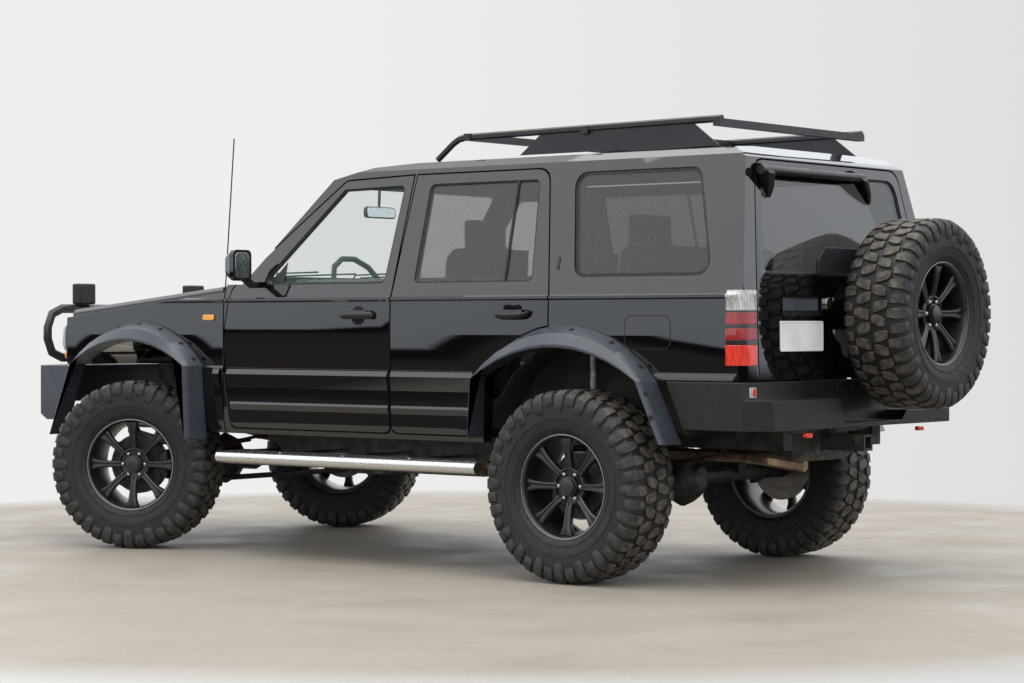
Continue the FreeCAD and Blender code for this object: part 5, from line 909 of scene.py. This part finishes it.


# Flares, bumpers, bars and rack
# Wide arch flares are satin moulded plastic. Bumpers, bull bar and roof rack are steel under
# black powder coat or satin paint, which is slightly pebbled; the front bumper's lighter grey copy
# of it is painted light, and the rear bumper's darker, browner copy is painted shade.

FLARE_PLASTIC = moulded_plastic("satin_flare_plastic", "#2c3037", "#343941", 0.27)
POWDER_COAT = moulded_plastic("pebbled_powder_coat", "#1a1b1e", "#222327", 0.4, grain=2.2)
# Lighter grey copy of the bumper steel paint: painted light on the front bumper.
PAINTED_LIGHT_STEEL = moulded_plastic("satin_steel_paint", "#3d4047", "#474a52", 0.32, grain=2.2)
# Darker, browner copy of the bumper steel paint on the rear bumper: painted shade.
SHADED_STEEL = moulded_plastic("rear_bumper_paint", "#12110f", "#1a1815", 0.3, grain=2.2)
for node, name, body, slot, material, edge, corner in (
        ("arch_flares", "wheel_arch_flares", "root", "flare_plastic", FLARE_PLASTIC, 4, 28),
        ("front_bumper", "front_steel_bumper", "root", "powder_coat", PAINTED_LIGHT_STEEL, 4, 32),
        ("rear_bumper", "rear_steel_bumper", "root", "powder_coat", SHADED_STEEL, 4, 32),
        ("bull_bar", "bull_bar_tubes", "root", "powder_coat", POWDER_COAT, 0, 50),
        ("roof_rack", "roof_rack_tubes", "root", "powder_coat", POWDER_COAT, 1.5, 50),
        ("spare_carrier", "spare_wheel_carrier", "tailgate", "powder_coat", POWDER_COAT, 2, 32),
        ("front_grille", "grille_moulding", "root", "black_plastic", BLACK_PLASTIC, 1.5, 32)):
    dressed(node, name, body, [material], edge=edge * MM, corner=corner)
painted("aerial", BLACK_PLASTIC)


# Flare bolts
# Socket screws in round pockets along the upper face of each flare, five to a front arch and
# six to a rear one. Each pocket is a thin near-black disc on the face, painted shade for the hole.

BOLT_PLACES = ((-1.757, 1.176), (-1.601, 1.190), (-1.432, 1.176), (-1.272, 1.104), (-1.180, 1.010),
               (0.985, 1.130), (1.297, 1.163), (1.524, 1.118), (1.690, 1.010), (1.752, 0.880), (1.790, 0.770))
WHEEL_PLACES = (-1.6875, 1.3125)
WHEEL_HEIGHT = 0.4445
TIER_MIDDLE = 0.893
TIER_STEP = 0.004
TIER_TRIES = 40
FLARE_SKIN = skin("arch_flares")


def pocket_and_screw():
    """A near-black disc, painted shade for a round pocket, with its socket screw head."""
    shape = bmesh.new()
    for size, steps, low, high in (((27, 27, 13.4), 4, -2.0, 1.2), ((13, 13, 6.4), 2, 0.0, 4.0)):
        outline = [(u, v, low * MM) for u, v in rounded(*size, steps)]
        raised(shape, outline, UP * (high - low) * MM)
    return shaped("pocket_and_screw", shape, RECESS_SHADE_BLACK, corner=40)


def set_on_places():
    """Tree that sets a pattern on each point of a mesh, turned to the way that the point faces."""
    tree, start = tree_with("set_on_places", Pattern="Object", Size="Float", Finish="Material")
    pattern = add(tree, "GeometryNodeObjectInfo", {"Object": start.outputs["Pattern"]})
    facing = add(tree, "GeometryNodeInputNamedAttribute", {"Name": "facing"}, data_type="FLOAT_VECTOR")
    way = [socket for socket in facing.outputs if socket.enabled and socket.name == "Attribute"][0]
    turn = add(tree, "FunctionNodeAlignRotationToVector", {"Vector": way}, axis="Z")
    copies = add(tree, "GeometryNodeInstanceOnPoints", {
        "Points": start.outputs["Geometry"], "Instance": pattern.outputs["Geometry"],
        "Rotation": turn.outputs["Rotation"], "Scale": start.outputs["Size"]})
    return made_real(tree, start, copies)


SET_ON_PLACES = set_on_places()


def scattered(name, spots, pattern, material, size=1.0):
    """Copies of a pattern at places with the ways that they face, in one mesh."""
    mesh = bpy.data.meshes.new(name)
    mesh.from_pydata([place for place, _ in spots], [], [])
    facing = mesh.attributes.new("facing", "FLOAT_VECTOR", "POINT")
    for index, (_, way) in enumerate(spots):
        facing.data[index].vector = way
    return grown_by(new_piece(name, mesh), SET_ON_PLACES, Pattern=pattern, Size=size, Finish=material)


def on_tier(inward, y, z):
    """The place on a flare's upper face nearest to a point of the side view, found towards the wheel."""
    centre = Vector((0, WHEEL_PLACES[0] if y < 0 else WHEEL_PLACES[1], WHEEL_HEIGHT))
    spot = Vector((0, y, z))
    for _ in range(TIER_TRIES):
        place, facing = landing(FLARE_SKIN, spot, inward)
        if place and abs(place.x) > TIER_MIDDLE:
            break
        spot = spot.lerp(centre, TIER_STEP)
    return place, facing


POCKET = pocket_and_screw()
for side, sign in SIDES:
    spots = [on_tier(Vector((-sign, 0, 0)), y, z) for y, z in BOLT_PLACES]
    fixed(scattered(f"flare_bolts_{side}", spots, POCKET, RECESS_SHADE_BLACK), "root")
bpy.data.objects.remove(POCKET)


# Swage lines
# Two creases pressed into the doors, and the upper one in the wing as well: a short slope
# that faces up, and a long one below it that runs back into the panel.

# Each section from its top down: height above the ground and depth out of the panel, in mm.
UPPER_SWAGE = ((963, -1.5), (963, 0.2), (931, 9), (862, 0.2), (862, -1.5))
LOWER_SWAGE = ((789, -1.5), (789, 0.2), (777, 5), (748, 0.2), (748, -1.5))
SWAGE_STEP = 20 * MM
SHUT_LINE = 6 * MM
PANEL_LEAN = 30 * MM


def swage(name, node, side, first, last, section):
    """A pressed line along a panel's skin between two places on y, where the panel is whole."""
    panel = skin(node)
    shape = bmesh.new()
    rows = []
    count = max(2, round((last - first) / SWAGE_STEP))
    for index in range(count + 1):
        y = first + (last - first) * index / count
        spots = [landing(panel, (0, y, height * MM), (-side, 0, 0))[0] for height, _ in section]
        reaches = [abs(spot.x) for spot in spots if spot]
        if len(reaches) == len(spots) and max(reaches) - min(reaches) <= PANEL_LEAN:
            rows.append([shape.verts.new((spot.x + side * depth * MM, y, height * MM))
                         for spot, (height, depth) in zip(spots, section)])
    bridged(shape, rows)
    return shaped(name, shape, PAINT, corner=20)


for side, sign in SIDES:
    for place in ("front", "rear"):
        node = f"door_{place}_{side}"
        low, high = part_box(node)
        for line, section in (("upper", UPPER_SWAGE), ("lower", LOWER_SWAGE)):
            name = f"{line}_swage_{place}_{side}"
            fixed(swage(name, node, sign, low.y + SHUT_LINE, high.y - SHUT_LINE, section), node)
    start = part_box(f"door_front_{side}")[0].y
    crease = swage(f"wing_swage_{side}", "front_body", sign, start - 75 * MM, start - 7 * MM, UPPER_SWAGE)
    fixed(crease, "root")


# Side steps
# A polished steel tube each side with a flat dark tread, held by short arms to the chassis.
# Raised studs on the tread keep wet boots from slipping.

STEP_STEEL = bright_metal("polished_step_steel", "#e2e0dc", 0.24)
TREAD_ENDS = (-0.66, 0.40)
TREAD_ACROSS = 0.915
TREAD_WIDTH = 44
TREAD_SINK = 4 * MM
TREAD_RISE = 3 * MM
STUD_PITCH = 26 * MM
STUD_ROW = 12 * MM
dressed("side_steps", "side_step_tubes", "root", [STEP_STEEL], edge=1.5 * MM, corner=50)
STEP_SKIN = skin("side_steps")
shape = bmesh.new()
bmesh.ops.create_cone(shape, cap_ends=True, segments=12, radius1=6 * MM, radius2=4 * MM, depth=4 * MM)
STUD = shaped("stud", shape, BLACK_PLASTIC, corner=40)
for side, sign in SIDES:
    first, last = TREAD_ENDS
    middle = (first + last) / 2
    spot, _ = landing(STEP_SKIN, (sign * TREAD_ACROSS, middle, 0), -UP)
    low, high = spot.z - TREAD_SINK, spot.z + TREAD_RISE
    outline = rounded(TREAD_WIDTH, (last - first) / MM, 12)
    shape = bmesh.new()
    raised(shape, [(spot.x + u * MM, middle + v * MM, low) for u, v in outline], UP * (high - low))
    fixed(shaped(f"step_tread_{side}", shape, BLACK_PLASTIC), "root")
    count = int((last - first) / STUD_PITCH) - 1
    spots = [(Vector((spot.x + row * STUD_ROW, first + (k + 1 + row / 4) * STUD_PITCH, high + 1 * MM)), UP)
             for row in (-1, 1) for k in range(count)]
    fixed(scattered(f"tread_studs_{side}", spots, STUD, BLACK_PLASTIC), "root")
bpy.data.objects.remove(STUD)


# Lamps
# Moulded lamp bodies: clear acrylic over reflectors in front, and upright rear lamps in stacked
# lenses of clear, red and orange acrylic with dark joints between.

# Each band of a rear lamp: its colour and its ends as shares of the lamp's height.
LAMP_BANDS = (("orange", 0.0, 0.27), ("dark", 0.27, 0.34), ("red", 0.34, 0.49), ("dark", 0.49, 0.55),
              ("red", 0.55, 0.70), ("dark", 0.70, 0.73), ("clear", 0.73, 1.0))
LAMP_COLOURS = {"orange": ("#c62415", "#e8402a"), "dark": ("#180405", "#2a0a0a"),
                "red": ("#7d0b10", "#a51218"), "clear": ("#c9c8c6", "#8d8c8b")}
LAMP_MIDDLE = (0.82, 2.165)
LENS_EDGE = 1.5 * MM
JOINT_INSET = 0.985
DOME_STEPS = 8
DOME_RIM = 6 * MM
DOME_CORNER = 0.42
FORWARD = Vector((0, -1, 0))


def lamp_acrylic(name, first, second):
    """Coloured acrylic over a prism pattern: upright flutes under a hard gloss."""
    material, tree, shader = finish(name, first, Roughness=0.18, Coat_Weight=1.0, Coat_Roughness=0.02)
    flute = drift(tree, 7 * MM, 0.0, 1.0, stretch=(1, 1, 9))
    tinted(tree, shader, flute, first, second)
    roughened(tree, shader, flute, 0.8 * MM)
    return material


def band_of(node, name, low, high, material, swell):
    """The slice of a lamp between two heights as a closed lens with soft edges."""
    shape = bmesh.new()
    shape.from_mesh(frame["nodes"][node].data)
    bmesh.ops.remove_doubles(shape, verts=shape.verts, dist=0.01 * MM)
    for level, way in ((low, -1), (high, 1)):
        everything = shape.verts[:] + shape.edges[:] + shape.faces[:]
        cut = bmesh.ops.bisect_plane(shape, geom=everything, plane_co=(0, 0, level), plane_no=(0, 0, way),
                                     clear_outer=True)
        open_edges = [item for item in cut["geom_cut"] if isinstance(item, bmesh.types.BMEdge)]
        bmesh.ops.holes_fill(shape, edges=open_edges)
    across, along = LAMP_MIDDLE
    for vert in shape.verts:
        vert.co.x = math.copysign(across + (abs(vert.co.x) - across) * swell, vert.co.x)
        vert.co.y = along + (vert.co.y - along) * swell
    piece = shaped(name, shape, material, corner=30)
    softened(piece, LENS_EDGE, corner=50)
    return settled(piece)


def dome(name, width, height, bulge, place, facing, material):
    """A bulged oval lens on a short rim; sizes in mm."""
    shape = bmesh.new()
    outline = rounded(width, height, min(width, height) * DOME_CORNER, 6)
    top = shape.verts.new(place + facing * bulge * MM)
    rows = []
    for step in range(1, DOME_STEPS + 1):
        share = math.sin(step / DOME_STEPS * math.pi / 2)
        middle = place + facing * bulge * MM * math.sqrt(max(0.0, 1 - share * share))
        ring = laid(middle, facing, [(u * share, v * share) for u, v in outline])
        rows.append([shape.verts.new(spot) for spot in ring])
    rows.append([shape.verts.new(vert.co - facing * DOME_RIM) for vert in rows[-1]])
    for vert, after in zip(rows[0], rows[0][1:] + rows[0][:1]):
        shape.faces.new((top, vert, after))
    bridged(shape, rows, capped=False)
    shape.faces.new(rows[-1])
    return shaped(name, shape, material, corner=50)


LAMP_LOW, LAMP_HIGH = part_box("tail_lamps")
LENSES = {key: lamp_acrylic(f"{key}_lens_acrylic", *colours) for key, colours in LAMP_COLOURS.items()}
reach = LAMP_HIGH.z - LAMP_LOW.z
for index, (key, low, high) in enumerate(LAMP_BANDS):
    piece = band_of("tail_lamps", f"tail_lamp_band_{index}", LAMP_LOW.z + low * reach,
                    LAMP_LOW.z + high * reach, LENSES[key], JOINT_INSET if key == "dark" else 1.0)
    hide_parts("tail_lamps")
    fixed(piece, "root")

AMBER = lamp_acrylic("amber_lens_acrylic", "#d9860f", "#f2a52a")
# Hard clear acrylic cover that shows the reflector behind it.
CLEAR_COVER = finish("clear_cover_acrylic", "#9aa3a6", Alpha=0.3, Roughness=0.03, Coat_Weight=1.0,
                     Coat_Roughness=0.01)[0]
REFLECTOR = bright_metal("vacuum_reflector", "#d8dadc", 0.16)
LAMP_GLASS = lamp_acrylic("fluted_lamp_glass", "#c9ccce", "#8e9396")
dressed("front_lamps", "headlamp_bodies", "root", [BLACK_PLASTIC], edge=9 * MM)
NOSE_SKIN = skin("front_body", "front_lamps", "front_bumper")
BUMPER_SKIN = skin("front_bumper")
WING_SKIN = skin("front_body")
REAR_SKIN = skin("rear_bumper")
for side, sign in SIDES:
    for name, x, z, width, height, bulge, material in (
            ("headlamp_bowl", 0.565, 1.098, 216, 150, 8, REFLECTOR),
            ("headlamp_cover", 0.565, 1.098, 236, 164, 24, CLEAR_COVER),
            ("corner_lamp", 0.785, 1.115, 120, 176, 46, LAMP_GLASS)):
        spot, _ = landing(NOSE_SKIN, (sign * x, 0, z), BACKWARD)
        fixed(dome(f"{name}_{side}", width, height, bulge, spot, FORWARD, material), "root")
    bar_lamp = Vector((sign * 0.43, -2.598, 1.360))
    for name, width, height, bulge, place, material in (
            ("corner_indicator", 104, 58, 34, spot - UP * 0.092, AMBER),
            ("bar_lamp_glass", 98, 92, 5, bar_lamp, LAMP_GLASS)):
        fixed(dome(f"{name}_{side}", width, height, bulge, place, FORWARD, material), "root")
    # The fog dome is shallow and near-black: painted shade for the dark oval recess in the bumper.
    spot, facing = landing(BUMPER_SKIN, (sign * 0.66, 0, 0.74), BACKWARD)
    fixed(dome(f"fog_lamp_{side}", 150, 84, 6, spot, facing, RECESS_SHADE_BLACK), "root")
    spot, facing = landing(WING_SKIN, (0, -1.108, 1.222), (-sign, 0, 0))
    repeater = slab(f"side_repeater_{side}", (82, 30, 9), 9, spot, facing, AMBER, edge=4)
    fixed(repeater, "root")
    spot, facing = landing(REAR_SKIN, (sign * 0.80, 0, 0.885), FORWARD)
    inset = Vector((-sign * 8 * MM, 0, 0))
    tow_hook = Vector((sign * 0.50, 2.315, 0.690))
    for name, size, depth, place, way, key, edge, sink in (
            ("corner_reflector", (52, 46, 5), 5, spot, facing, "clear", 1.5, 1),
            ("corner_reflector_red", (24, 34, 4), 6.5, spot + inset, facing, "orange", 1.5, 1),
            ("tow_reflector", (52, 20, 8), 8, tow_hook, BACKWARD, "orange", 2, 14)):
        piece = slab(f"{name}_{side}", size, depth, place, way, LENSES[key], edge=edge, sink=sink)
        fixed(piece, "root")


# Fuel door
# A pressed flap behind the left rear arch, let in flush, so only its shut line shows: a thin
# near-black band laid on the panel, painted shade for the gap.

FLAP_PLACE = (1.693, 1.150)
FLAP_SIZE = (252, 150, 36)
FLAP_GAP = ((-2, -1), (-2, 0.35), (2, 0.35), (2, -1))
spot, facing = landing(skin("body_shell"), (0, *FLAP_PLACE), (-1, 0, 0))
flap_rim = [(place, facing) for place in laid(spot, facing, rounded(*FLAP_SIZE))]
fixed(band("fuel_door_gap", [flap_rim], FLAP_GAP, RECESS_SHADE_BLACK), "root")


# Tailgate fittings
# A pull recess with a round lock, a blank enamelled plate, and a padded bar across the top of
# the glass on two moulded arms.

GATE_SKIN = skin("tailgate")
LEVEL = Vector((0, 0, 0))
for name, x, z, shift, size, depth, edge, material, slot in (
        # The recess frame is near-black: painted shade round the pull.
        ("gate_recess_frame", 0.391, 1.271, LEVEL, (534, 94, 24), 5, 2, RECESS_SHADE_BLACK, "black_plastic"),
        # The pull's lighter grey steel paint is a painted reflection of the floor in the recess.
        ("gate_pull", 0.391, 1.271, Vector((0.03, 0, 0.004)), (400, 58, 10), 9, 4, PAINTED_LIGHT_STEEL, "paint"),
        ("gate_lock_ring", 0.168, 1.280, LEVEL, (58, 58, 28.9), 14, 2, SILVERED, "bright_steel"),
        ("gate_lock_barrel", 0.168, 1.280, LEVEL, (40, 40, 19.9), 17, 3, BLACK_PLASTIC, "black_plastic"),
        ("blank_plate", 0.385, 1.133, LEVEL, (364, 137, 8), 3, 0.8, ENAMEL, "paint")):
    spot, facing = landing(GATE_SKIN, (x, 0, z), FORWARD)
    fixed(slab(name, size, depth, spot + shift, facing, material, edge=edge), "tailgate")
PLATE_BEAD = ((-2, -0.5), (-1, 1.2), (1, 1.2), (2, -0.5))
plate_rim = [(spot + Vector((-u, 0, v)) + facing * 3 * MM, facing) for u, v in rounded(356, 129, 6)][::-1]
fixed(band("blank_plate_bead", [plate_rim], PLATE_BEAD, ENAMEL), "tailgate")

PANE_SKIN = skin("tailgate_glass", "tailgate")
ARM_TOP = 1.912
ARM_FOOT = 1.757
BAR_SHARE = 0.22
BAR_OUT = 0.034
# Sections of an arm from top to foot: the share of its length, half width, and front and back, in mm.
ARM_SECTIONS = ((0.0, 30, -2, 26), (0.3, 31, -2, 62), (0.7, 24, -2, 40), (1.0, 12, -2, 12))
bar_ends = []
for side, x, lean, out_of_arm in (("left", 0.570, 0.028, 0.050), ("right", -0.262, 0.072, -0.020)):
    top, _ = landing(PANE_SKIN, (x + lean, 0, ARM_TOP), FORWARD)
    foot, _ = landing(PANE_SKIN, (x - lean, 0, ARM_FOOT), FORWARD)
    shape = bmesh.new()
    rows = []
    for share, half, low, high in ARM_SECTIONS:
        place = top.lerp(foot, share)
        rows.append([shape.verts.new(place + Vector((u * MM, v * MM, 0)))
                     for u, v in ((half, low), (half * 0.8, high), (-half * 0.8, high), (-half, low))])
    bridged(shape, rows)
    arm = shaped(f"gate_bar_arm_{side}", shape, BLACK_PLASTIC)
    softened(arm, 6 * MM, segments=3)
    fixed(settled(arm), "tailgate")
    bar_ends.append(top.lerp(foot, BAR_SHARE) + Vector((out_of_arm, BAR_OUT, 0)))
fixed(tube("gate_bar", bar_ends, 21, POWDER_COAT, sides=24), "tailgate")


# Floor, seats and dashboard
# Under-sealed floor panels, seats in dark woven cloth, and a grained dashboard with the
# steering wheel.

# Sprayed underseal: matt, lumpy and dusty.
UNDERSEAL = surface("sprayed_underseal", "#121110", "#3b352e", 80, (0.0, 0.6), grain=(5, 1.0), Roughness=0.8)
# Woven seat cloth, charcoal, with a soft sheen at its edges.
SEAT_CLOTH = surface("woven_seat_cloth", "#242528", "#303236", 6, grain=(6, 0.2), Roughness=0.95,
                     Sheen_Weight=0.4, Sheen_Roughness=0.5)
DASH_GRAIN = moulded_plastic("grained_dash_plastic", "#222325", "#2b2c2e", 0.6)
# Where the seats' middles, sewn seams and cross channels lie.
FRONT_MIDDLE, REAR_MIDDLE = 0.385, 0.3
REAR_ROW, FRONT_BACK = 0.6, 0.2
SEAMS = (0.15, 0.05)
CHANNEL_FOOT = (0.72, 0.86)
CHANNEL_PITCH = 0.16
CHANNEL_SHARE = 0.6
SEAM_WIDTH, CHANNEL_WIDTH = 0.010, 0.009
SEAM_DEPTH = 7 * MM


def seam_press(x, y, z):
    """How deep the seams pull the cloth in at a place of the seats."""
    offset = abs(abs(x) - (FRONT_MIDDLE if y < REAR_ROW else REAR_MIDDLE))
    seam = min(abs(offset - run) for run in SEAMS)
    height = z - CHANNEL_FOOT[y >= FRONT_BACK]
    channel = abs(height % CHANNEL_PITCH - CHANNEL_PITCH / 2) if offset < SEAMS[0] else 1.0
    return SEAM_DEPTH * max(math.exp(-(seam / SEAM_WIDTH) ** 2),
                            CHANNEL_SHARE * math.exp(-(channel / CHANNEL_WIDTH) ** 2))


def padded_seats():
    """Seat pads: the solids swollen round, with sewn channels pressed into cushions and backs."""
    mesh = frame["nodes"]["seats"].data.copy()
    mesh.materials.clear()
    piece = new_piece("cloth_seats", mesh, SEAT_CLOTH)
    fill = piece.modifiers.new("fill", "REMESH")
    fill.mode = "VOXEL"
    fill.voxel_size = 13 * MM
    settle = piece.modifiers.new("settle", "SMOOTH")
    settle.factor = 0.6
    settle.iterations = 9
    mesh = settled(piece).data
    mesh.shade_smooth()
    swell = [vert.normal.copy() for vert in mesh.vertices]
    for vert, way in zip(mesh.vertices, swell):
        vert.co -= way * seam_press(*vert.co)
    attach(piece, "root")
    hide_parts("seats")


painted("floor_pan", UNDERSEAL)
padded_seats()
dressed("dashboard", "dash_and_wheel", "root", [DASH_GRAIN], edge=2 * MM)


# Studio
# A pale concrete floor that fades out at its edge, one large soft light above, and a sky that
# is bright overhead and dim towards the ground, as a white hall with a brown floor gives.

FLOOR_REACH = 5.0
FLOOR_FADE = 0.6
# Colours of the light from straight below to straight above; 0.5 is the horizon.
SKY = ((0.0, "#4a443d"), (0.43, "#4a443d"), (0.482, "#4d463f"), (0.4885, "#0b0b0b"), (0.4976, "#0b0b0b"),
       (0.4985, "#c6ccd4"), (0.58, "#dfe4eb"), (0.70, "#f2f5f9"), (0.86, "#fcfdff"), (1.0, "#ffffff"))
SKY_STRENGTH = 1.75
WALL_ACROSS = (-0.6247, 0.7808, 0)
CAMERA_PLACE = Vector((10.046, 8.257, 1.183))
CAMERA_WAY = Vector((-0.78084, -0.62470, -0.00656))
CAMERA_LENS = 87.95
SENSOR = 36.0


def floor_concrete():
    """Power-floated concrete, warm grey with faint stains, clear at the edge of the stage."""
    material, tree, shader = finish("floated_concrete", "#958d81", Roughness=0.62)
    base = tinted(tree, shader, drift(tree, 900 * MM, 0.0, 1.0, sharpness=0.3), "#968e83", "#898175")
    tinted(tree, shader, drift(tree, 60 * MM, 0.0, 0.35, sharpness=0.3), base, "#7b7368")
    tree.links.new(drift(tree, 500 * MM, 0.5, 0.75), shader.inputs["Roughness"])
    roughened(tree, shader, drift(tree, 15 * MM, 0.0, 1.0), 0.6 * MM)
    place = add(tree, "ShaderNodeTexCoord")
    reach = add(tree, "ShaderNodeVectorMath", {0: place.outputs["Object"]}, operation="LENGTH")
    fade = add(tree, "ShaderNodeMapRange", {
        "Value": reach.outputs["Value"], "From Min": FLOOR_REACH - FLOOR_FADE, "From Max": FLOOR_REACH,
        "To Min": 1.0, "To Max": 0.0})
    tree.links.new(fade.outputs["Result"], shader.inputs["Alpha"])
    return material


def hall_light():
    """World light by height above the horizon, and the pale wall that the camera sees."""
    world = bpy.data.worlds.new("white_hall")
    bpy.context.scene.world = world
    world.use_nodes = True
    tree = world.node_tree
    tree.nodes.clear()
    way = add(tree, "ShaderNodeTexCoord")
    spot = add(tree, "ShaderNodeSeparateXYZ", {"Vector": way.outputs["Generated"]})
    height = add(tree, "ShaderNodeMapRange", {"Value": spot.outputs["Z"], "From Min": -1.0, "From Max": 1.0})
    sky = add(tree, "ShaderNodeValToRGB", {"Fac": height.outputs["Result"]})
    stops = sky.color_ramp.elements
    while len(stops) < len(SKY):
        stops.new(1.0)
    for stop, (position, colour) in zip(stops, SKY):
        stop.position = position
        stop.color = hex_linear(colour)
    lit = add(tree, "ShaderNodeBackground", {"Color": sky.outputs["Color"], "Strength": SKY_STRENGTH})
    aside = add(tree, "ShaderNodeVectorMath", {0: way.outputs["Generated"], 1: WALL_ACROSS},
                operation="DOT_PRODUCT")
    share = add(tree, "ShaderNodeMapRange", {
        "Value": aside.outputs["Value"], "From Min": -0.1, "From Max": 0.22})
    wall = add(tree, "ShaderNodeMix", {0: share.outputs["Result"], 6: hex_linear("#efefee"),
                                       7: hex_linear("#dedede")}, data_type="RGBA")
    seen = add(tree, "ShaderNodeBackground", {"Color": wall.outputs[2], "Strength": 1.0})
    ray = add(tree, "ShaderNodeLightPath")
    mix = add(tree, "ShaderNodeMixShader", {
        0: ray.outputs["Is Camera Ray"], 1: lit.outputs[0], 2: seen.outputs[0]})
    add(tree, "ShaderNodeOutputWorld", {"Surface": mix.outputs[0]})


def aimed(name, data, place, way):
    """A light or a camera at a place, looking along a way."""
    holder = bpy.data.objects.new(name, data)
    bpy.context.scene.collection.objects.link(holder)
    holder.location = place
    holder.rotation_euler = way.to_track_quat("-Z", "Y").to_euler()
    return holder


shape = bmesh.new()
bmesh.ops.create_circle(shape, cap_ends=True, segments=128, radius=FLOOR_REACH)
mesh = bpy.data.meshes.new("stage_floor")
shape.to_mesh(mesh)
shape.free()
new_piece("stage_floor", mesh, floor_concrete())
hall_light()
lamp = bpy.data.lights.new("overhead_box", "AREA")
lamp.shape = "RECTANGLE"
lamp.size = 7.0
lamp.size_y = 5.0
lamp.energy = 200
overhead = Vector((1.5, 0.5, 5.5))
aimed("overhead_box", lamp, overhead, -overhead)
view = bpy.data.cameras.new("photo_view")
view.lens = CAMERA_LENS
view.sensor_width = SENSOR
bpy.context.scene.camera = aimed("photo_view", view, CAMERA_PLACE, CAMERA_WAY)
bpy.context.scene.view_settings.view_transform = "Standard"
